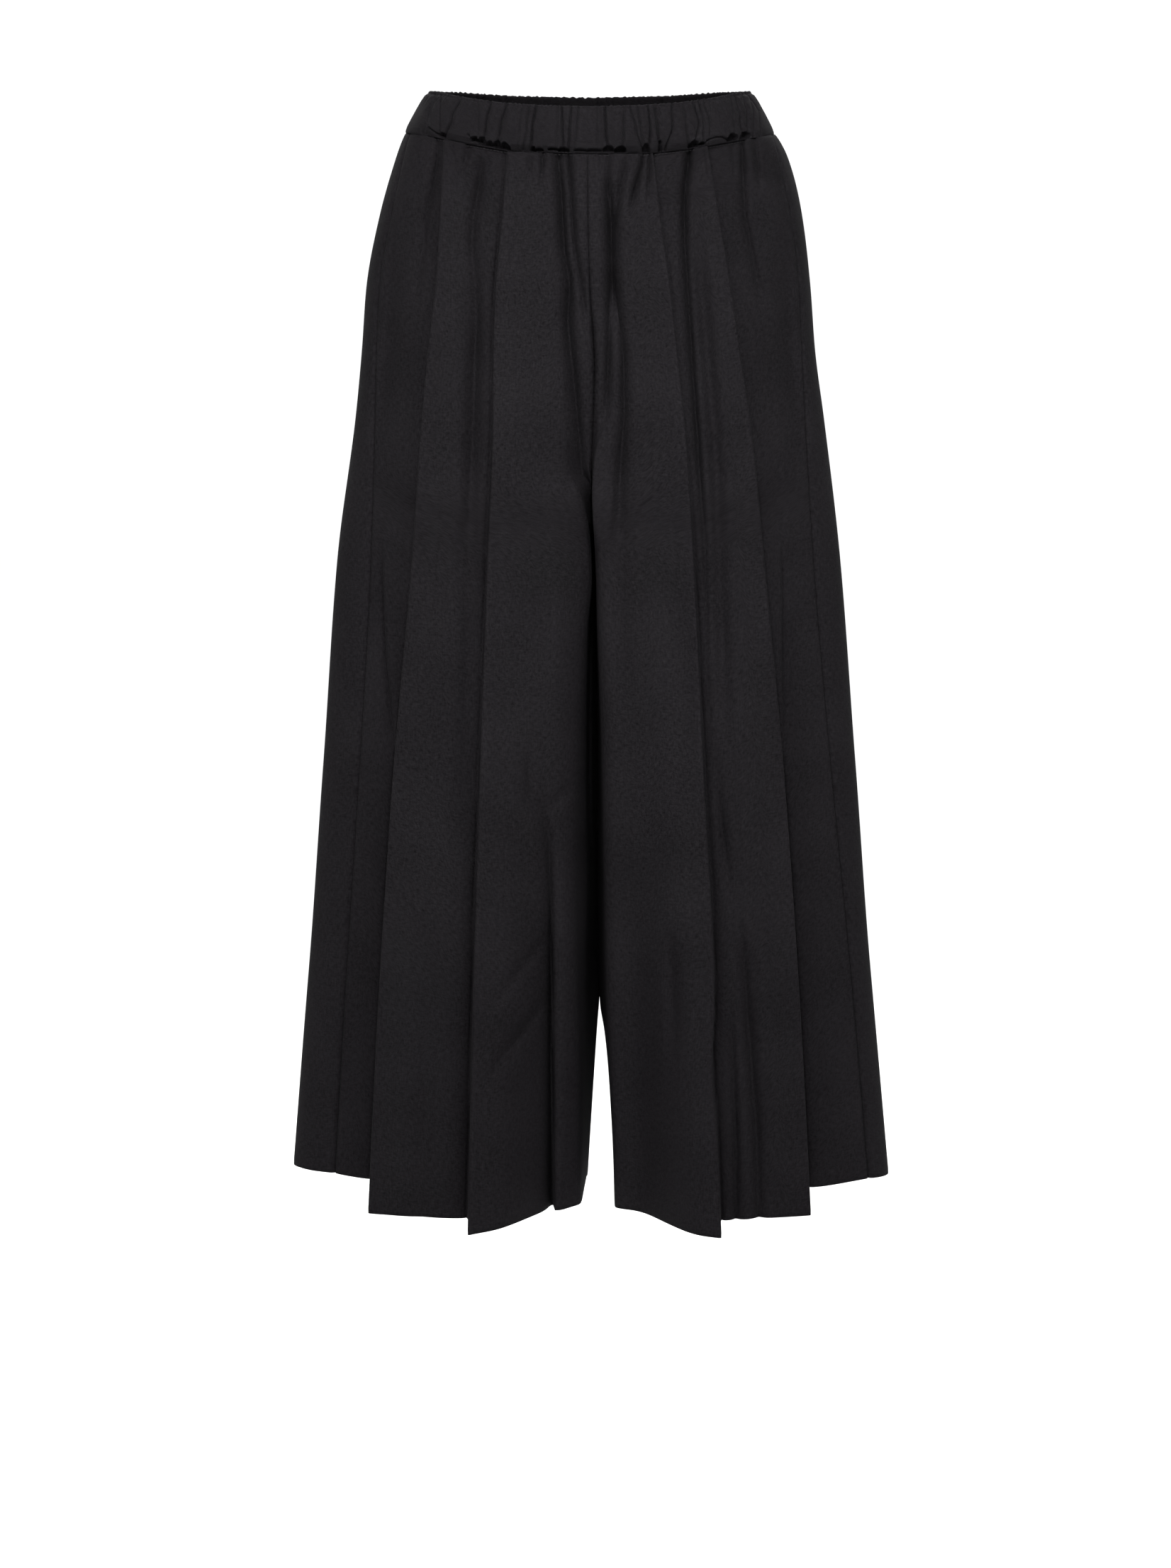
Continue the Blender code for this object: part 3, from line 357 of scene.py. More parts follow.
# Creases of the front casing, from the right side to the left: place across at the top fold, half
# way and at the seam, depth at the top and at the seam, half width.
BAND_CREASES = (
    (-123.4, -127.3, -131.8, 1.1, 0.6, 1.2), (-121.2, -125.1, -128.5, 0.9, 0.7, 1.1),
    (-117.8, -118.4, -117.8, 0.8, 1, 1.4), (-102.1, -108.8, -114.4, 1.3, 1.8, 1.2),
    (-87.5, -87, -86.4, 0.4, 0.2, 1.2), (-78, -81.3, -83, 1.6, 1.3, 1), (-65.6, -69.6, -72.4, 1.5, 1, 1),
    (-52.7, -54.4, -56.1, 0.5, 0.2, 1), (-47.7, -49.4, -52.2, 0.7, 0.7, 1),
    (-42.1, -44.9, -46, 1.3, 1.6, 1.1), (-24.7, -25.2, -25.8, 0.5, 0.3, 1.1),
    (-21.9, -21.3, -20.2, 1.3, 1, 0.9), (-14.6, -15.7, -16.8, 0.9, 1.1, 1),
    (-9, -10.1, -12.3, 0.8, 0.3, 0.9), (6.2, 6.2, 5.6, 0.4, 0.2, 1.2), (11.8, 12.3, 14.6, 1.2, 1.2, 1),
    (26.9, 26.4, 25.2, 0.5, 0.8, 1.1), (31.4, 35.9, 41.5, 0.8, 0.9, 1.1), (37, 39.8, 42.6, 0.4, 0.8, 1),
    (45.5, 47.1, 45.5, 0.9, 1.4, 1), (50.5, 52.7, 54.9, 0.6, 1.5, 1.1), (64.5, 64.5, 58.9, 1.2, 1.1, 1.1),
    (72.9, 75.2, 77.4, 0.6, 0.9, 1.2), (81.3, 85.3, 80.8, 1.2, 1.2, 1.1), (85.8, 89.2, 88.1, 0.9, 0.7, 1.1),
    (89.9, 94.1, 93, 0.8, 0.3, 1.1), (94.2, 94.8, 94.8, 0.3, 0.2, 1.2),
    (111.1, 112.2, 112.8, 0.4, 0.3, 1.3), (115, 118.4, 120.1, 1.4, 1.3, 1.1),
    (121.2, 124, 124, 1.5, 1.4, 1.2), (126.8, 129, 129, 1.1, 0.9, 1.2),
    (131.3, 133.5, 134.6, 0.9, 0.8, 1.2),
)
# Hollows above the front waist seam, where the casing bulges over it: from, to, height of the lower
# edge and of the crown, depth, lean of the crown.
BAND_HOLLOWS = (
    (-117.2, -113.2, 0, 4.6, 2.4, 0.2), (-93.4, -85.6, 2.4, 6.6, 3, -0.5),
    (-87.4, -79.6, 0.9, 6.8, 3.4, 0.2), (-80.4, -74.2, 1.2, 5.4, 2.8, -0.3),
    (-75.4, -68.2, 0.6, 6.4, 3.3, -0.4), (-69, -61.2, 0.6, 6.2, 3.3, 0.5), (-46.8, -41.6, 0, 4.4, 3, -0.5),
    (-42.2, -35.6, 0.9, 3.6, 2.4, 0.3), (-33, -23, 2, 4.2, 2.2, 0.4), (-25, -15.4, 1.2, 4.4, 3.2, 0.5),
    (-12.8, -1.5, 2, 4, 1.5, 0), (-3, 10.2, 2, 4.1, 1.6, 0.3), (9.6, 18.9, 1.6, 6.2, 3.2, -0.2),
    (18, 28.4, 0.9, 5.8, 3.3, -0.6), (41, 47.2, 0, 7.2, 3.2, 0.3), (53, 56.6, 0, 8.4, 3.4, 0.2),
    (76.4, 84.9, 0.3, 5.6, 3.4, -0.4), (83.9, 90.2, 1.4, 3.8, 2.4, 0), (106.4, 116.3, 0.2, 6, 3.2, 0.4),
    (117, 126.6, 0.2, 5.4, 3.3, 0.2),
)
# Thin creases above the seam that bow over it: places (across, height).
BAND_ARCS = (
    ((-126.8, 6.6), (-121, 3.6), (-115.6, 1.1)),
    ((-94.6, 7), (-91.5, 4.6), (-88, 3)),
    ((87.6, 2.2), (92.6, 4.4), (98, 5.5), (103, 4.8), (107.2, 2)),
)

# Stitches: distance from one to the next, length, half thickness, distance below the waist seam, half
# width and reaches of their ring, and how many rings of how many points each one has.
STITCH_PITCH, STITCH_LONG, STITCH_THICK, STITCH_BELOW = 2.9, 2.1, 0.19, 1.15
STITCH_WIDE, STITCH_DEEP = 145.0, {"front": 97.5, "back": 100.0}
STITCH_RINGS, STITCH_SIDES = 6, 5


# ---- curves ----

def smooth(t):
    """Smooth step from 0 at t = 0 to 1 at t = 1."""
    t = np.clip(t, 0.0, 1.0)
    return t * t * (3.0 - 2.0 * t)


def fade(distance, depth, reach):
    """Depth that dies away with the distance."""
    return depth * np.exp(-distance / reach)


def bell(t):
    """Bell curve, 1 at t = 0 and nearly nothing beyond 2 on either side."""
    return np.exp(-(t ** 2))


def linear(rows, at, column=1):
    """Value of a table's column at places in its first column, by straight lines between the rows."""
    rows = sorted(rows)
    return np.interp(at, [row[0] for row in rows], [row[column] for row in rows])


def along(rows, z, column=1):
    """Value of a table's column at heights z, by a smooth curve that never overshoots the rows."""
    rows = sorted(rows)
    x = np.array([row[0] for row in rows], float)
    y = np.array([row[column] for row in rows], float)
    step = np.diff(x)
    slope = np.diff(y) / step
    tangent = np.zeros(len(x))
    for i in range(1, len(x) - 1):
        if slope[i - 1] * slope[i] > 0:
            w0 = 2 * step[i] + step[i - 1]
            w1 = step[i] + 2 * step[i - 1]
            tangent[i] = (w0 + w1) / (w0 / slope[i - 1] + w1 / slope[i])
    tangent[0] = slope[0]
    tangent[-1] = slope[-1]
    z = np.clip(np.asarray(z, float), x[0], x[-1])
    i = np.clip(np.searchsorted(x, z) - 1, 0, len(step) - 1)
    t = (z - x[i]) / step[i]
    h = step[i]
    return (
        (1 + 2 * t) * (1 - t) ** 2 * y[i]
        + t * (1 - t) ** 2 * h * tangent[i]
        + t * t * (3 - 2 * t) * y[i + 1]
        + t * t * (t - 1) * h * tangent[i + 1]
    )


def line_points(start, finish, count=33):
    """Points from start to finish, both arrays heights x 2."""
    return start[:, None, :] + (finish - start)[:, None, :] * np.linspace(0, 1, count)[None, :, None]


def seam_height(x, f):
    """Height of the waist seam at a place across and forward."""
    front = linear(WAIST_SEAM, x, 1)
    back = linear(WAIST_SEAM, x, 2)
    return back + (front - back) * smooth((f + 20.0) / 40.0)


def rod_rim(side, rod, z):
    """Outermost u of a rod at the heights z."""
    _, heights, centres, _, radii = RODS[side][rod]
    return along(zip(heights, centres), z) + along(zip(heights, radii), z)


# ---- a leg's cloth ----

def turn_between(first, second, sign):
    """Angle from one heading to the next, turned the way that the rod turns the cloth."""
    turn = (second - first + math.pi) % (2 * math.pi) - math.pi
    wrong = (turn * sign < 0) & (np.abs(turn) > 1.2)
    return np.where(wrong, turn + sign * 2 * math.pi, turn)


def end_points(side, z):
    """Where the cloth starts, at the front rise or inseam, and where it ends, at the back."""
    ends = []
    fade_low = 1.0 - smooth((-336.0 - z) / 26.0)
    gap_f = SEAM / 2 * smooth((-300.0 - z) / 30.0) + 0.22 * smooth((-332.0 - z) / 20.0)
    for rise, split_z, sign in ((FRONT_RISE, -198.0, 1.0), (BACK_RISE, -225.0, -1.0)):
        below = z < CROTCH_Z
        u = np.where(below, along(INSEAM[side], z, 1), MIRROR[side] * along(rise, z, 1))
        f = np.where(below, along(INSEAM[side], z, 2), along(rise, z, 2))
        # Beside each other the two legs are set further apart than where they meet end to end.
        out = SEAM / 2 + BESIDE * smooth((split_z - z) / 40.0)
        ends.append(np.stack([u + out * fade_low, f + sign * gap_f], 1))
    return ends


def leg_stretches(side, z):
    """Centreline of a leg at each height: a list of stretches, each an array heights x points x 2."""
    start, finish = end_points(side, z)
    centres, radii = [start], [0.0]
    for sign, heights, *columns in RODS[side].values():
        u, f, radius = (along(zip(heights, column), z) for column in columns)
        centres.append(np.stack([u, f], 1))
        radii.append(sign * radius)
    centres.append(finish)
    radii.append(0.0)
    headings = []
    for i in range(len(centres) - 1):
        step = centres[i + 1] - centres[i]
        length = np.hypot(step[:, 0], step[:, 1])
        lean = np.arcsin(np.clip((radii[i + 1] - radii[i]) / length, -1.0, 1.0))
        headings.append(np.arctan2(step[:, 1], step[:, 0]) - lean)
    stretches = []
    leave = start
    for i in range(1, len(centres) - 1):
        turn = turn_between(headings[i - 1], headings[i], np.sign(radii[i]))
        angles = headings[i - 1][:, None] + turn[:, None] * np.linspace(0, 1, 33)
        radius = radii[i][:, None]
        arc_u = centres[i][:, None, 0] + radius * np.sin(angles)
        arc_f = centres[i][:, None, 1] - radius * np.cos(angles)
        arc = np.stack([arc_u, arc_f], 2)
        stretches += [line_points(leave, arc[:, 0]), arc]
        leave = arc[:, -1]
    stretches.append(line_points(leave, finish))
    return stretches


def read_line(at, known, points):
    """Places (u, f) at distances along a line of points whose own distances are known."""
    return np.stack([np.interp(at, known, points[:, axis]) for axis in (0, 1)], -1)


def resample(lines, steps):
    """Points evenly spaced along each line."""
    out = []
    for points in lines:
        part = np.hypot(*np.diff(points, axis=0).T)
        length = np.concatenate([[0.0], np.cumsum(part)])
        out.append(read_line(length[-1] * np.linspace(0.0, 1.0, steps + 1), length, points))
    return np.array(out)


def leg_columns(side, z):
    """Centreline points of the front and of the back piece of a leg at each height."""
    parts = leg_stretches(side, z)
    front = [resample(parts[0], FRONT_STEPS[0])]
    front += [resample(parts[i], FRONT_STEPS[i])[:, 1:] for i in range(1, 10)]
    # The side runs from the outer pleat's valley to the widest point, and the outseam divides it.
    whole = np.concatenate([parts[10], parts[11][:, 1:]], 1)
    widest = np.argmax(whole[..., 0], axis=1)
    before, after = [], []
    outseam = along(zip(DOWN, OUTSEAM[side]), z)
    for k in range(len(z)):
        climb = whole[k, : widest[k] + 1]
        at = np.searchsorted(climb[:, 0], outseam[k])
        lower, upper = climb[at - 1], climb[at]
        share = np.clip((outseam[k] - lower[0]) / (upper[0] - lower[0]), 0.05, 0.95)
        seam = lower + (upper - lower) * share
        toward = (upper - lower) / np.hypot(*(upper - lower))
        before.append(np.vstack([climb[:at], seam - toward * SEAM / 2]))
        after.append(np.vstack([seam + toward * SEAM / 2, whole[k, at:]]))
    front.append(resample(before, FRONT_STEPS[10])[:, 1:])
    back = [resample(after, BACK_STEPS[0])]
    back += [resample(parts[i], BACK_STEPS[i - 11])[:, 1:] for i in range(12, 17)]
    return np.concatenate(front, 1), np.concatenate(back, 1)


def station_columns():
    """Column number of each station, in the front piece and in the back piece."""
    ends = np.cumsum(FRONT_STEPS)
    back_ends = np.cumsum(BACK_STEPS)
    back = [0, back_ends[0] * 0.5, back_ends[2], back_ends[4], back_ends[5]]
    return [0, ends[1], ends[3], ends[5], ends[7], ends[9], ends[10]], back


def distance_to(points, x, y):
    """For places (x, y): the distance to a line through the points, and which run and part is nearest."""
    best = np.full(x.shape, 1e9)
    run = np.zeros(x.shape, int)
    part = np.zeros(x.shape)
    for i, ((x0, y0), (x1, y1)) in enumerate(zip(points[:-1], points[1:])):
        run_x, run_y = x1 - x0, y1 - y0
        share = ((x - x0) * run_x + (y - y0) * run_y) / (run_x ** 2 + run_y ** 2)
        share = np.clip(share, 0.0, 1.0)
        away = np.hypot(x - x0 - share * run_x, y - y0 - share * run_y)
        nearer = away < best
        best = np.where(nearer, away, best)
        run = np.where(nearer, i, run)
        part = np.where(nearer, share, part)
    return best, run, part


def follow(places, u, z, width):
    """Depth of one soft fold at the points (u, z): its line runs through the places."""
    best, run, part = distance_to([(place[1], place[0]) for place in places], u, z)
    depths = np.array([place[2] for place in places], float)
    depth = depths[run] + (depths[run + 1] - depths[run]) * part
    # A narrow fold is creased along its bottom, and a wide one is round.
    return depth * np.exp(-((best / width) ** (1.3 if width < 5.0 else 2.0)))


def ledge(u, edge, drop, reach):
    """Drop of the cloth outside an edge that lies over it."""
    past = u - edge
    out = np.maximum(past, 0.0)
    return -drop * smooth((past - 0.1) / 1.4) * (fade(out, 1.0, reach) + fade(out, 0.55, 1.8))


def unrest(u, z, seed, scale):
    """Slow uneven swell of cloth that hangs, between about -1 and 1."""
    total = np.zeros(np.broadcast(u, z).shape)
    draw = np.random.RandomState(seed)
    for _ in range(7):
        turn = draw.uniform(-0.5, 0.5)
        wave = scale * draw.uniform(0.7, 1.6)
        phase = draw.uniform(0.0, 2 * math.pi)
        total += np.sin((u * math.cos(turn) + z * 0.35 * math.sin(turn)) * 2 * math.pi / wave + phase)
    return total / 4.0


def front_folds(side, u, z):
    """Forward move of a leg's front by its soft folds, pleats and ledges."""
    front = np.zeros_like(u)
    for width, *places in SOFT_FOLDS[side, "front"]:
        front += follow(places, u, z, width)
    for rod, rows in PLEAT_DROPS[side].items():
        front += ledge(u, rod_rim(side, rod, z), along(rows, z, 1), along(rows, z, 2))
    for rows in LEDGES[side]:
        front += ledge(u, along(rows, z, 1), along(rows, z, 2), along(rows, z, 3))
    return front


def back_folds(side, u, z):
    """Backward move of a leg's back by its soft folds."""
    back = np.zeros_like(u)
    for width, *places in SOFT_FOLDS[side, "back"]:
        deeper = BACK_FOLDS_DEEPER if width < BACK_FOLD_WIDE else 1.0
        back += deeper * follow(places, u, z, width)
    return back


def fold_field(side, points, z):
    """Moves points (u, f) at heights z by the soft folds: every layer at one place moves alike."""
    u, f = points[..., 0], points[..., 1]
    mirror = MIRROR[side]
    seed = 11 if side == "right" else 23
    front = front_folds(side, u, z)
    front += 0.55 * unrest(u, z, seed, 70.0) + 0.16 * unrest(u, z, seed + 1, 24.0)
    back = back_folds(side, u, z)
    back += 0.7 * unrest(u, z, seed + 2, 75.0) + 0.2 * unrest(u, z, seed + 3, 26.0)
    # Small gathers that start at the waist seam and die away.
    below = np.clip((seam_height(mirror * u, f) - z) / 16.0, 0.0, None)
    front += 0.55 * unrest(u, z * 0.1, seed + 4, 11.0) * np.exp(-below)
    # At the seam the back cloth stays under the casing's edge.
    back *= 0.3 + 0.7 * smooth(below / 0.7)
    back += 0.7 * unrest(u, z * 0.1, seed + 5, 12.0) * np.exp(-below * 0.8)
    front_share = smooth((f + 12.0) / 24.0)
    move = front * front_share - back * (1.0 - front_share)
    # The folds die away at the side and at the seam between the legs.
    move *= smooth((rod_rim(side, "side", z) - 5.0 - u) / 16.0)
    seam = mirror * along(FRONT_RISE, z) * smooth((z + 345.0) / 15.0)
    move *= smooth((u - seam - 1.0) / 4.0)
    f = f + move
    fill = along(RISE_FILL, z) * bell((u - seam) / 10.0)
    f = f + np.minimum(fill * smooth((f - 20.0) / 20.0), 0.8 * np.maximum(115.0 - f, 0.0))
    if side == "right":
        rounding = along(ROUND_OVER, z, 1) * smooth((114.0 - f) / along(ROUND_OVER, z, 2))
        rounding *= np.clip((f + 10.0) / 110.0, 0.0, 1.0) * smooth((24.0 - u) / 8.0)
        rounding *= smooth(-(z + 272.0) / 12.0)
        u = np.maximum(u - rounding, np.minimum(u, 1.3 - along(LEFT_FACE, z)))
    u = u - mirror * along(SWAY, z) * bell(u / 24.0) * smooth((f - 30.0) / 40.0)
    return np.stack([u, f], -1)


def leg_sheets(side, share):
    """Middle surface of the two pieces of a leg: arrays rows x columns x (u, f, z)."""
    hems = (HEM[side][:7], HEM[side][6:])
    sheets = []
    for points, at, heights in zip(leg_columns(side, LEVELS), station_columns(), hems):
        columns = np.arange(points.shape[1])
        brim = np.array([read_line(20.0, -LEVELS, points[:, c]) for c in columns])
        top = seam_height(MIRROR[side] * brim[:, 0], brim[:, 1])
        hem = np.interp(columns, at, heights)
        z = top[None, :] + (hem - top)[None, :] * share[:, None]
        sheet = np.empty((len(share), points.shape[1], 3))
        for c in columns:
            sheet[:, c, :2] = read_line(-z[:, c], -LEVELS, points[:, c])
        sheet[..., 2] = z
        sheet[..., :2] = fold_field(side, sheet[..., :2], z)
        sheets.append(sheet)
    return sheets


# ---- meshes ----

def unit(vectors):
    """Level vectors, each made 1 long."""
    return vectors / np.maximum(np.hypot(vectors[..., 0], vectors[..., 1]), 1e-9)[..., None]


def level_normals(sheet):
    """Level normals of a sheet, square to its rows, in the sheet's own coordinates."""
    ahead = unit(np.gradient(sheet[..., :2], axis=1))
    return np.stack([-ahead[..., 1], ahead[..., 0]], -1)


def run_length(sheet, axis):
    """Distance along the cloth from its first edge, in millimetres."""
    step = np.linalg.norm(np.diff(sheet, axis=axis), axis=-1)
    first = np.zeros_like(np.take(step, [0], axis=axis))
    return np.concatenate([first, np.cumsum(step, axis=axis)], axis=axis)


def mesh_object(name, points, faces, corner_uv, flip, material):
    """Mesh object from points in millimetres, with smooth shading and cloth coordinates in metres."""
    faces = np.asarray(faces)
    if flip:
        faces = faces[:, ::-1]
    mesh = bpy.data.meshes.new(name)
    mesh.vertices.add(len(points))
    mesh.vertices.foreach_set("co", (np.asarray(points) / 1000.0).ravel())
    mesh.loops.add(faces.size)
    mesh.loops.foreach_set("vertex_index", faces.ravel())
    mesh.polygons.add(len(faces))
    mesh.polygons.foreach_set("loop_start", np.arange(len(faces)) * 4)
    mesh.polygons.foreach_set("loop_total", np.full(len(faces), 4))
    mesh.polygons.foreach_set("use_smooth", np.ones(len(faces), bool))
    mesh.update(calc_edges=True)
    layer = mesh.uv_layers.new(name="cloth")
    layer.data.foreach_set("uv", (np.asarray(corner_uv)[faces.ravel()] / 1000.0).ravel())
    mesh.validate()
    mesh.materials.append(material)
    obj = bpy.data.objects.new(name, mesh)
    bpy.context.scene.collection.objects.link(obj)
    return obj


def shell_faces(rows, columns):
    """Faces of a closed thin shell between two equal grids, the outer one's points first."""
    index = np.arange(rows * columns).reshape(rows, columns)
    shift = rows * columns
    a, b = index[:-1, :-1], index[:-1, 1:]
    c, d = index[1:, 1:], index[1:, :-1]
    face_out = np.stack([a, b, c, d], -1).reshape(-1, 4)
    face_in = np.stack([a, d, c, b], -1).reshape(-1, 4) + shift
    rims = []
    for edge, turned in ((index[0], True), (index[-1], False), (index[:, 0], False), (index[:, -1], True)):
        near, far = edge[:-1], edge[1:]
        quad = [near, near + shift, far + shift, far] if turned else [near, far, far + shift, near + shift]
        rims.append(np.stack(quad, -1))
    return np.concatenate([face_out, face_in] + rims)


def row_shares():
    """Heights of a leg's rows as parts of its length, close together under the waist seam."""
    depth = [0.0]
    while depth[-1] < LEG_LENGTH:
        depth.append(depth[-1] + float(linear(ROW_GAPS, depth[-1])))
    return np.array(depth) / depth[-1]


def evened(values, count):
    """Moving average over a number of columns."""
    return np.convolve(np.pad(values, count // 2, mode="edge"), np.ones(count) / count, "valid")


def meet_casing(sheet, side, face):
    """Brings the top edge of a leg's sheet to the casing's lower edge, which is an oval ring."""
    wide = BAND_RINGS[0][1]
    deep = BAND_RINGS[0][2 if face == "front" else 3]
    u, f = sheet[0, :, 0], np.abs(sheet[0, :, 1])
    # Scale that brings each point onto the ring, found by going nearer six times.
    scale = np.ones_like(u)
    for _ in range(6):
        scale *= ((np.abs(scale * u) / wide) ** 2 + (scale * f / deep) ** (2 / BOW)) ** -0.48
    reach = np.hypot(u, f)
    # How far the edge stands outside the ring.
    out = (1.0 - scale) * reach
    if face == "back":
        move = evened(out, 21)
        move = (0.8 - move) * smooth((f - 4.0) / 20.0)
        fall = 14.0
    else:
        near = np.abs(u[:, None] - u[None, :]) < 1.0
        outmost = np.where(near, out[None, :], -99.0).max(1)
        # A pleat's under layers stay behind its outer one.
        under = np.minimum(-1.0, np.maximum(outmost, -1.0) - 1.2)
        move = np.maximum(under - (under + 1.0) * smooth((out - outmost + 1.5) / 1.0) - out, 0.0)
        move = evened(move, 3)
        fall = 1.5
    down = run_length(sheet, 0)
    moved = sheet.copy()
    moved[..., :2] += (sheet[0, :, :2] * (move / reach)[:, None])[None] * fade(down, 1.0, fall)[..., None]
    # The top edge also keeps the height of the casing's lower edge.
    across = np.clip(moved[0, :, 0] / wide, -1.0, 1.0) * MIRROR[side]
    forward = SEAM_RING[1] * (1.0 - across ** 2) ** (BOW / 2) * FACING[face]
    lift = seam_height(SEAM_RING[0] * across, forward) + 0.05 - moved[0, :, 2]
    moved[..., 2] += fade(down, lift, 8.0)
    return moved


def make_piece(sheet, side, face, cloth):
    """The front or the back piece of one leg, as a shell on its middle surface."""
    normal = level_normals(sheet)
    sheet = meet_casing(sheet, side, face)
    across = run_length(sheet, 1)
    down = run_length(sheet, 0)
    left, right = across, across[:, -1:] - across
    inner_edge, outer_edge = (left, right) if face == "front" else (right, left)
    # The cloth is drawn in along its seams and under the casing.
    above = smooth((sheet[..., 2] + 300.0) / 30.0)
    crease = linear(SEAM_CREASE, sheet[..., 2]) if face == "front" else 1.0
    drawn = fade(outer_edge, -2.2, 1.2) + fade(outer_edge, -0.4, 4.5)
    drawn -= above * crease * (fade(inner_edge, 0.7, 1.4) + fade(inner_edge, 0.3, 4.5))
    drawn *= smooth((down + 8.0) / 12.0)
    drawn -= fade(down, 0.35, 1.2)
    drawn -= fade(down, 1.5, 8.0) * smooth((sheet[..., 0] - 118.0) / 18.0)
    # Over the rise the two legs meet: there the cloth moves straight in, not aside.
    turned = np.stack([np.zeros_like(left), np.full_like(left, FACING[face])], -1)
    straight = (above * bell(inner_edge / 3.0))[..., None]
    normal = unit(normal * (1.0 - straight) + turned * straight)
    # The hem is turned up inside, so the cloth is thicker there.
    hem = HEM_CLOTH * smooth((down - (down[-1:] - HEM_DEPTH)) / 3.0)
    outer, inner = sheet.copy(), sheet.copy()
    outer[..., :2] += normal * (CLOTH / 2 + drawn)[..., None]
    inner[..., :2] -= normal * (CLOTH / 2 + hem - drawn)[..., None]
    # The sewn edges of the two legs touch along the rise.
    close = along(RISE_CLOSE[face], sheet[..., 2]) * fade(inner_edge, 1.0, 1.2)
    outer[..., 0] -= close
    inner[..., 0] -= close
    # Round the lower edge.
    outer[-1, :, :2] -= normal[-1] * 0.25
    points = np.concatenate([outer.reshape(-1, 3), inner.reshape(-1, 3)]) * (MIRROR[side], -1.0, 1.0)
    uv = np.tile(np.stack([across, -down], -1).reshape(-1, 2), (2, 1))
    name = f"{face}_{side}_leg_cloth"
    return mesh_object(name, points, shell_faces(*sheet.shape[:2]), uv, side == "left", cloth)


# ---- waistband ----

def back_creases():
    """Creases of the back casing: uneven, spread as those of the front are."""
    draw = np.random.RandomState(5)
    rows = []
    x = -131.0
    while x < 131.0:
        lean = draw.uniform(-5.0, 5.0)
        deep = draw.choice([0.4, 0.6, 0.9, 1.2])
        deep_at_seam = deep * draw.uniform(0.4, 1.3)
        rows.append((x, x + lean * 0.5, x + lean, deep, deep_at_seam, draw.uniform(0.9, 1.3)))
        x += draw.uniform(4.0, 14.0)
    return rows


def back_hollows():
    """Hollows above the back waist seam."""
    draw = np.random.RandomState(8)
    rows = []
    x = -120.0
    while x < 112.0:
        for _ in range(draw.randint(1, 4)):
            wide = draw.uniform(4.0, 10.0)
            low = draw.uniform(0.0, 2.0)
            crown = low + draw.uniform(2.2, 5.4)
            rows.append((x, x + wide, low, crown, draw.uniform(1.8, 3.4), draw.uniform(-0.6, 0.6)))
            x += wide - draw.uniform(0.0, 1.6)
        x += draw.uniform(4.0, 18.0)
    return rows


def press_hollows(hollows, x, above):
    """Outward and downward move of the casing by its hollows and the bulges over them, and their share."""
    out = np.zeros_like(x)
    sink = np.zeros_like(x)
    most = np.zeros_like(x)
    for start, stop, low, crown, depth, lean in hollows:
        place = (2.0 * x - start - stop) / (stop - start)
        place = place + lean * 0.45 * (1.0 - np.minimum(place ** 2, 1.0))
        arch = np.sqrt(np.clip(1.0 - np.abs(place) ** 2.4, 0.0, 1.0))
        top_edge = low + 1.12 * (crown - low) * arch
        inside = smooth((1.0 - np.abs(place)) / 0.22)
        hollow = inside * smooth((top_edge - above) / 0.8 + 0.3) * smooth((above - low) / 0.8 + 0.6)
        hollow = hollow * smooth(above / 0.5)
        most = np.maximum(most, hollow)
        bulge = inside * bell((above - top_edge - 1.5) / 1.7)
        out += bulge - 1.75 * depth * hollow
        sink -= 0.8 * bulge * smooth(above / 2.0)
    return out, sink, most


def press_creases(creases, x, v, above, wide, bow):
    """Outward move of the casing by the creases that run up it."""
    out = np.zeros_like(x)
    for at_top, at_half, at_seam, depth_top, depth_seam, half_width in creases:
        line = np.where(
            v > 0.5,
            at_half + (at_top - at_half) * smooth((v - 0.5) / 0.5),
            at_seam + (at_half - at_seam) * smooth(v / 0.5),
        )
        line = np.clip(line, -0.975 * wide, 0.975 * wide)
        depth = (depth_seam + (depth_top - depth_seam) * v) * (0.25 + 0.75 * smooth(above / 1.2))
        gap = (x - line) / np.clip(bow / 0.6, 0.6, 1.0) / half_width
        narrow = np.exp(-np.abs(gap / 0.62) ** 1.3)
        out -= depth * (2.5 * narrow + 0.7 * bell(gap / 3.0))
    return out


def press_arcs(x, above):
    """Outward move of the front casing by the thin creases that bow over the seam."""
    out = np.zeros_like(x)
    for places in BAND_ARCS:
        away = distance_to(places, x, above)[0]
        out += 0.5 * bell(away / 2.4) - 2.6 * bell(away / 0.55)
    return out


def band_ripple(face, turn):
    """Small uneven ripple round the casing's top."""
    draw = np.random.RandomState(3 if face == "front" else 4)
    ripple = np.zeros_like(turn)
    for _ in range(9):
        wave = draw.uniform(3.6, 8.5)
        ripple += np.sin(turn * 920.0 / wave + draw.uniform(0, 6.28))
    return ripple / 3.0


def top_fold(upper, lower, rise):
    """The top fold's rows: a half round from the outer cloth over to the inner one."""
    middle = (upper + lower) / 2
    reach = (upper - lower) / 2
    fold = []
    for step in (0.15, 0.3, 0.42, 0.5, 0.58, 0.7, 0.85):
        arc = middle + reach * math.cos(math.pi * step)
        arc[:, 2] = upper[:, 2] + rise * math.sin(math.pi * step)
        fold.append(arc)
    return np.stack(fold)


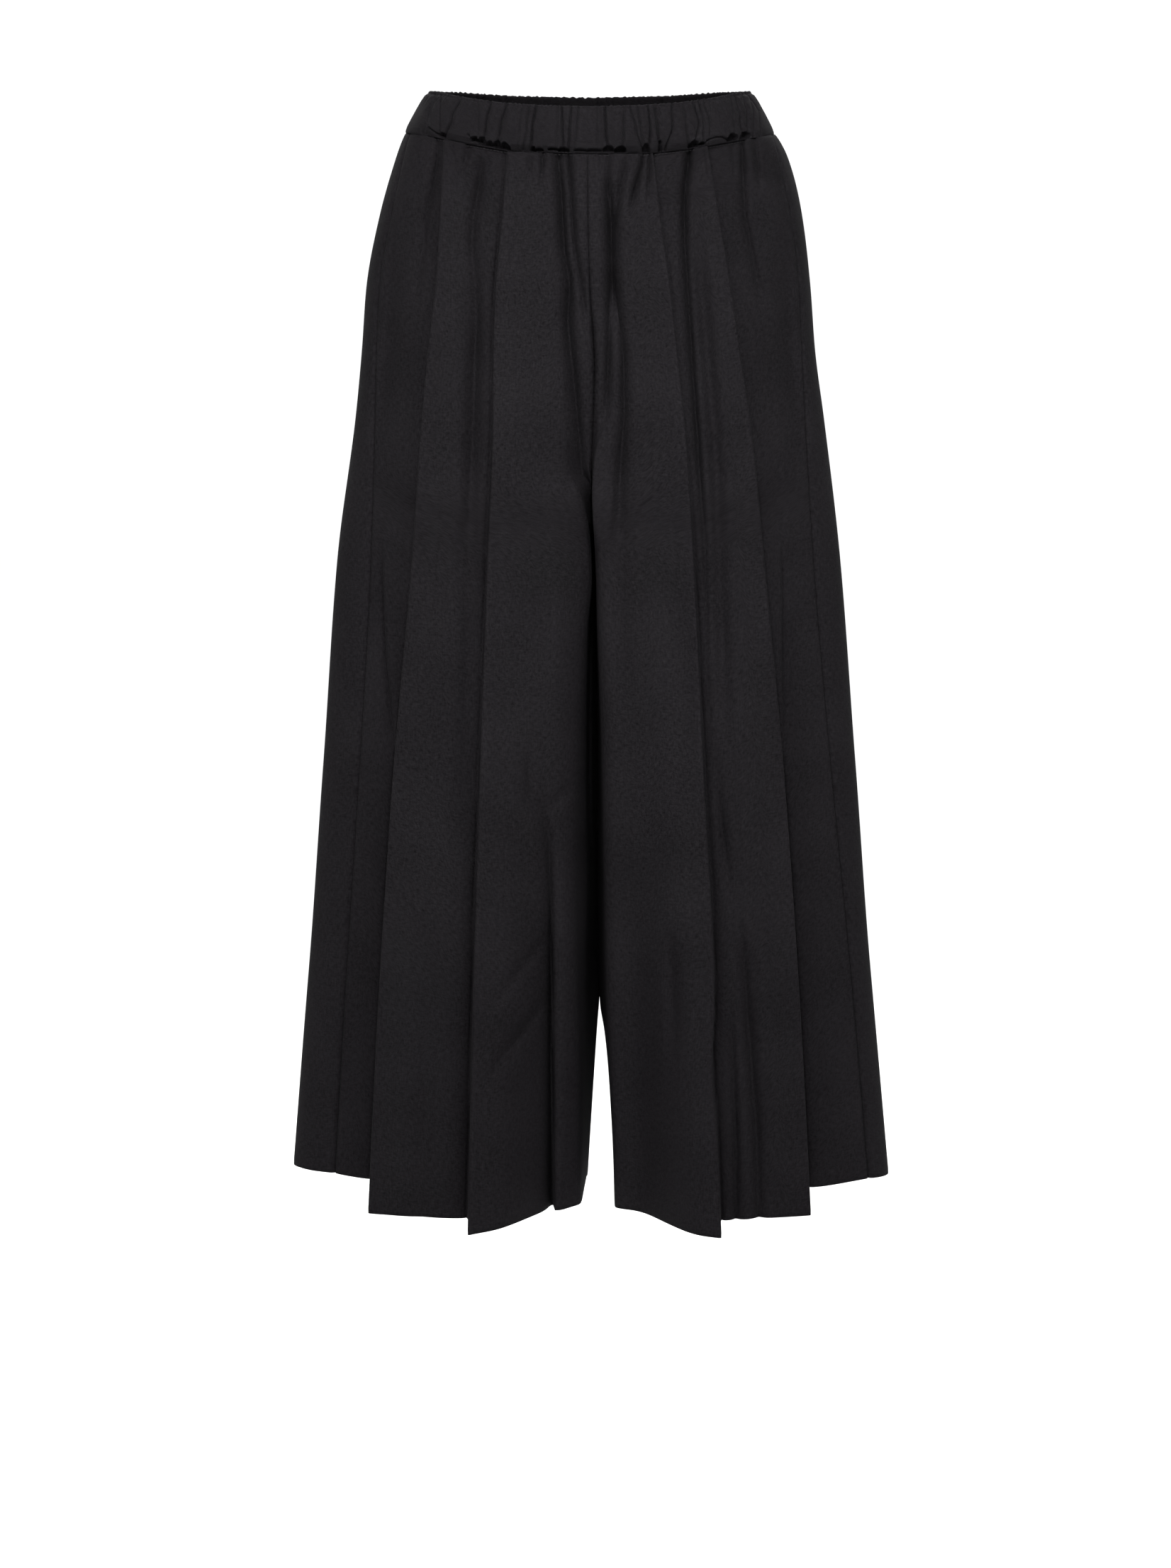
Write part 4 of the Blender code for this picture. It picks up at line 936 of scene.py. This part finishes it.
def band_tube(face):
    """Points of one half of the casing, rows round the tube x columns from side to side."""
    sign = FACING[face]
    turn = np.linspace(0.0, math.pi, BAND_COLUMNS[face] + 1)
    across = np.cos(turn)
    bow = np.sin(turn) ** BOW
    top = linear(BAND_TOP[face], np.abs(across))
    seam = seam_height(SEAM_RING[0] * across, sign * SEAM_RING[1] * bow) + 0.1
    ripple = band_ripple(face, turn)
    v = (np.linspace(0.0, 1.0, BAND_ROWS) ** 1.45)[:, None]
    wide = linear(BAND_RINGS, v, 1)
    x = wide * across
    y = -sign * linear(BAND_RINGS, v, 2 if face == "front" else 3) * bow
    above = (top - seam) * v
    z = seam + above

    # Outward move of the outer cloth.
    out = 1.25 * np.sin(math.pi * v ** 0.75) ** 0.8 * (0.45 + 0.55 * bow)
    out = out + 0.16 * ripple * smooth((v - 0.5) / 0.5)
    hollows = BAND_HOLLOWS if face == "front" else back_hollows()
    creases = BAND_CREASES if face == "front" else back_creases()
    pressed, sink, hollow_share = press_hollows(hollows, x, above)
    out += pressed + press_creases(creases, x, v, above, wide, bow) * (1.0 - 0.8 * hollow_share)
    if face == "front":
        out += press_arcs(x, above)
    out -= fade(above, 0.5, 0.8)
    out -= 0.8 * (1.0 - smooth(turn / 0.02) * smooth((math.pi - turn) / 0.02))
    z = z + sink

    normal = level_normals(np.stack([x, y], -1)) * sign
    half = CASING / 2
    outer_out = half - 1.0 + out
    inner_out = np.minimum(-half - 0.25 * np.sin(turn * 95.0) * np.sin(math.pi * v), half - 2.2 + out)
    ring = np.stack([x, y], -1)
    outer, inner = (
        np.concatenate([ring + normal * move[..., None], z[..., None]], -1)
        for move in (outer_out, inner_out)
    )
    fold = top_fold(outer[-1], inner[-1], 1.35 + 0.32 * ripple)
    tube = np.concatenate([outer, fold, inner[::-1][:-1:3], inner[:1]], 0)
    tube[..., 2] -= 0.9 * smooth((tube[..., 2] - z[-1] + 3.0) / 3.0)
    # The two ends close on the side seam.
    tube[:, (0, -1), 1] = -sign * 0.004
    return tube


def make_band(face, cloth):
    """One half of the waistband casing, a flat gathered tube of cloth from side to side."""
    tube = band_tube(face)
    rows, count = tube.shape[:2]
    index = np.arange(rows * count).reshape(rows, count)
    after = np.roll(index, -1, axis=0)
    walls = np.stack([index[:, :-1], after[:, :-1], after[:, 1:], index[:, 1:]], -1).reshape(-1, 4)
    caps = []
    for column, turned in ((0, False), (count - 1, True)):
        loop = index[:, column]
        low, high = 0, rows - 1
        while high - low >= 3:
            quad = (loop[low], loop[low + 1], loop[high - 1], loop[high])
            caps.append(quad if turned else quad[::-1])
            low += 1
            high -= 1
    faces = np.concatenate([walls, np.array(caps)])
    uv = np.stack([run_length(tube, 1), run_length(tube, 0)], -1).reshape(-1, 2)
    name = f"waistband_{face}_cloth"
    return mesh_object(name, tube.reshape(-1, 3), faces, uv, face == "front", cloth)


def make_stitches(thread):
    """The line of stitches along the casing's lower edge, one short thread after another."""
    halves = []
    bow = np.sin(np.linspace(0.12, math.pi - 0.12, STITCH_RINGS))[:, None]
    angle = 2 * math.pi * np.arange(STITCH_SIDES) / STITCH_SIDES
    size = STITCH_THICK * (0.55 + 0.45 * bow)
    lift = 0.10 + 0.22 * bow + size * np.cos(angle)
    for face, reach in STITCH_DEEP.items():
        turn = np.linspace(0.01, math.pi - 0.01, 2400)
        x = STITCH_WIDE * np.cos(turn)
        y = -FACING[face] * reach * np.sin(turn) ** BOW
        z = seam_height(x, -y) - STITCH_BELOW
        length = np.concatenate([[0.0], np.cumsum(np.hypot(np.diff(x), np.diff(y)))])
        number = np.arange(len(turn))
        starts = np.arange(0.6, length[-1] - STITCH_LONG, STITCH_PITCH)
        ends = [np.interp(starts + more, length, number) for more in (0.0, STITCH_LONG)]
        spots = np.linspace(*ends, STITCH_RINGS, axis=1)
        px, py, pz = (np.interp(spots, number, values)[..., None] for values in (x, y, z))
        out = unit(np.stack([px / STITCH_WIDE ** 2, py / reach ** 2], -1))
        level = np.stack([px, py], -1) + out * lift[..., None]
        height = pz + size * np.sin(angle)
        halves.append(np.concatenate([level, height[..., None]], -1))
    points = np.concatenate(halves).reshape(-1, 3)
    index = np.arange(len(points)).reshape(-1, STITCH_RINGS, STITCH_SIDES)
    after = np.roll(index, -1, axis=2)
    faces = np.stack([index[:, :-1], after[:, :-1], after[:, 1:], index[:, 1:]], -1).reshape(-1, 4)
    return mesh_object("casing_stitches", points, faces, points[:, :2], False, thread)


# ---- materials ----

def node(tree, kind, **inputs):
    """A new node. Each input named is set to the value given or linked to the socket given."""
    made = tree.nodes.new(kind)
    for key, value in inputs.items():
        if isinstance(value, bpy.types.NodeSocket):
            tree.links.new(value, made.inputs[key])
        else:
            made.inputs[key].default_value = value
    return made


def principled(name, roughness, specular):
    """A new material and its shader."""
    material = bpy.data.materials.new(name)
    material.use_nodes = True
    shader = material.node_tree.nodes["Principled BSDF"]
    shader.inputs["Roughness"].default_value = roughness
    shader.inputs["Specular IOR Level"].default_value = specular
    return material, shader


def suiting(name, dark, light):
    """Fine plain-weave wool suiting, nearly black: a soft mixture of dark and lighter yarns."""
    material, shader = principled(name, 0.86, 0.03)
    tree = material.node_tree

    def maths(operation, *values):
        """The result of a Math node on sockets or numbers."""
        made = tree.nodes.new("ShaderNodeMath")
        made.operation = operation
        for socket, value in zip(made.inputs, values):
            if isinstance(value, float):
                socket.default_value = value
            else:
                tree.links.new(value, socket)
        return made.outputs[0]

    uv = node(tree, "ShaderNodeUVMap")
    uv.uv_map = "cloth"
    across, down, _ = node(tree, "ShaderNodeSeparateXYZ", Vector=uv.outputs["UV"]).outputs
    yarns = []
    for long_way, short_way in ((across, down), (down, across)):
        place = node(
            tree,
            "ShaderNodeCombineXYZ",
            X=maths("MULTIPLY", long_way, 760.0),
            Y=maths("MULTIPLY", short_way, 260.0),
        )
        settings = {"Vector": place.outputs[0], "Scale": 1.0, "Detail": 2.0, "Roughness": 0.6}
        yarns.append(node(tree, "ShaderNodeTexNoise", **settings).outputs["Fac"])
    mixture = maths("MULTIPLY", maths("ADD", *yarns), 0.5)
    slow = node(tree, "ShaderNodeTexNoise", Vector=uv.outputs["UV"], Scale=14.0, Detail=2.0)
    tone = maths("ADD", mixture, maths("MULTIPLY", slow.outputs["Fac"], 0.22))
    ramp = node(tree, "ShaderNodeValToRGB", Fac=tone)
    for stop, place, colour in zip(ramp.color_ramp.elements, (0.42, 0.80), (dark, light)):
        stop.position = place
        stop.color = (*colour, 1.0)
    tree.links.new(ramp.outputs["Color"], shader.inputs["Base Color"])
    # Weave: the over and under of the yarns, 0.55 mm apart.
    turns = 2 * math.pi / 0.00055
    over, under = (maths("SINE", maths("MULTIPLY", way, turns)) for way in (across, down))
    weave = maths("MULTIPLY", over, under)
    relief = maths("ADD", maths("MULTIPLY", weave, 0.35), mixture)
    bump = node(tree, "ShaderNodeBump", Strength=0.5, Distance=0.00035, Height=relief)
    tree.links.new(bump.outputs["Normal"], shader.inputs["Normal"])
    return material


def plain(name, colour, roughness):
    """A plain matt material."""
    material, shader = principled(name, roughness, 0.2)
    shader.inputs["Base Color"].default_value = (*colour, 1.0)
    return material


# ---- the trousers ----

cloth = suiting("black_suiting", (0.0026, 0.0023, 0.0027), (0.0091, 0.0084, 0.0094))
thread = plain("black_thread", (0.006, 0.0056, 0.0063), 0.6)

pieces = {}
for side in ("right", "left"):
    for sheet, face in zip(leg_sheets(side, row_shares()), ("front", "back")):
        pieces[f"{face}_{side}_leg"] = make_piece(sheet, side, face, cloth)
for face in ("front", "back"):
    pieces[f"waistband_{face}"] = make_band(face, cloth)
stitches = make_stitches(thread)

for name, piece in pieces.items():
    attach(piece, "root")
    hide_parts(name)
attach(stitches, "root")

# ---- floor, light and camera, in metres ----

FLOOR_Z, FLOOR_HALF = -1.13, 9
scene = bpy.context.scene
floor_mesh = bpy.data.meshes.new("floor")
corners = [(x * FLOOR_HALF, y * FLOOR_HALF, FLOOR_Z) for x, y in ((-1, -1), (1, -1), (1, 1), (-1, 1))]
floor_mesh.from_pydata(corners, [], [(0, 1, 2, 3)])
floor_mesh.materials.append(plain("pale_floor", (0.97, 0.97, 0.97), 0.9))
floor = bpy.data.objects.new("floor", floor_mesh)
scene.collection.objects.link(floor)

world = bpy.data.worlds.new("studio")
world.use_nodes = True
background = world.node_tree.nodes["Background"]
background.inputs["Color"].default_value = (1.0, 1.0, 1.0, 1.0)
background.inputs["Strength"].default_value = 1.04
scene.world = world
scene.view_settings.view_transform = "Standard"
scene.view_settings.look = "None"

# Soft lights: name, place, height of the point on the middle line it faces, size, watts, spread.
LIGHTS = (
    ("softbox_left", (-0.7, -2.0, 1.6), -0.3, (0.6, 0.8), 13.6, 100),
    ("softbox_right", (0.7, -2.0, 1.6), -0.3, (0.6, 0.8), 13.6, 100),
    ("front", (0.0, -2.2, 1.3), -0.4, (0.5, 0.4), 2.34, 25),
    ("back_left", (-0.8, 2.3, 1.4), -0.35, (0.8, 0.8), 12.0, 100),
    ("back_right", (0.8, 2.3, 1.4), -0.35, (0.8, 0.8), 12.0, 100),
)
for name, place, aim_z, size, watts, spread in LIGHTS:
    light = bpy.data.lights.new(name, "AREA")
    light.shape = "RECTANGLE"
    light.size, light.size_y = size
    light.energy = watts
    light.spread = math.radians(spread)
    lamp = bpy.data.objects.new(name, light)
    lamp.location = place
    lamp.rotation_euler = (Vector((0.0, 0.0, aim_z)) - Vector(place)).to_track_quat("-Z", "Y").to_euler()
    scene.collection.objects.link(lamp)

camera_data = bpy.data.cameras.new("camera")
camera_data.sensor_width = 36.0
camera_data.lens = 119.86
camera_data.clip_end = 60.0
camera = bpy.data.objects.new("camera", camera_data)
camera.location = (-0.0034, -4.2, 0.02)
camera.rotation_euler = (math.pi / 2 - math.radians(7.536), 0.0, 0.0)
scene.collection.objects.link(camera)
scene.camera = camera
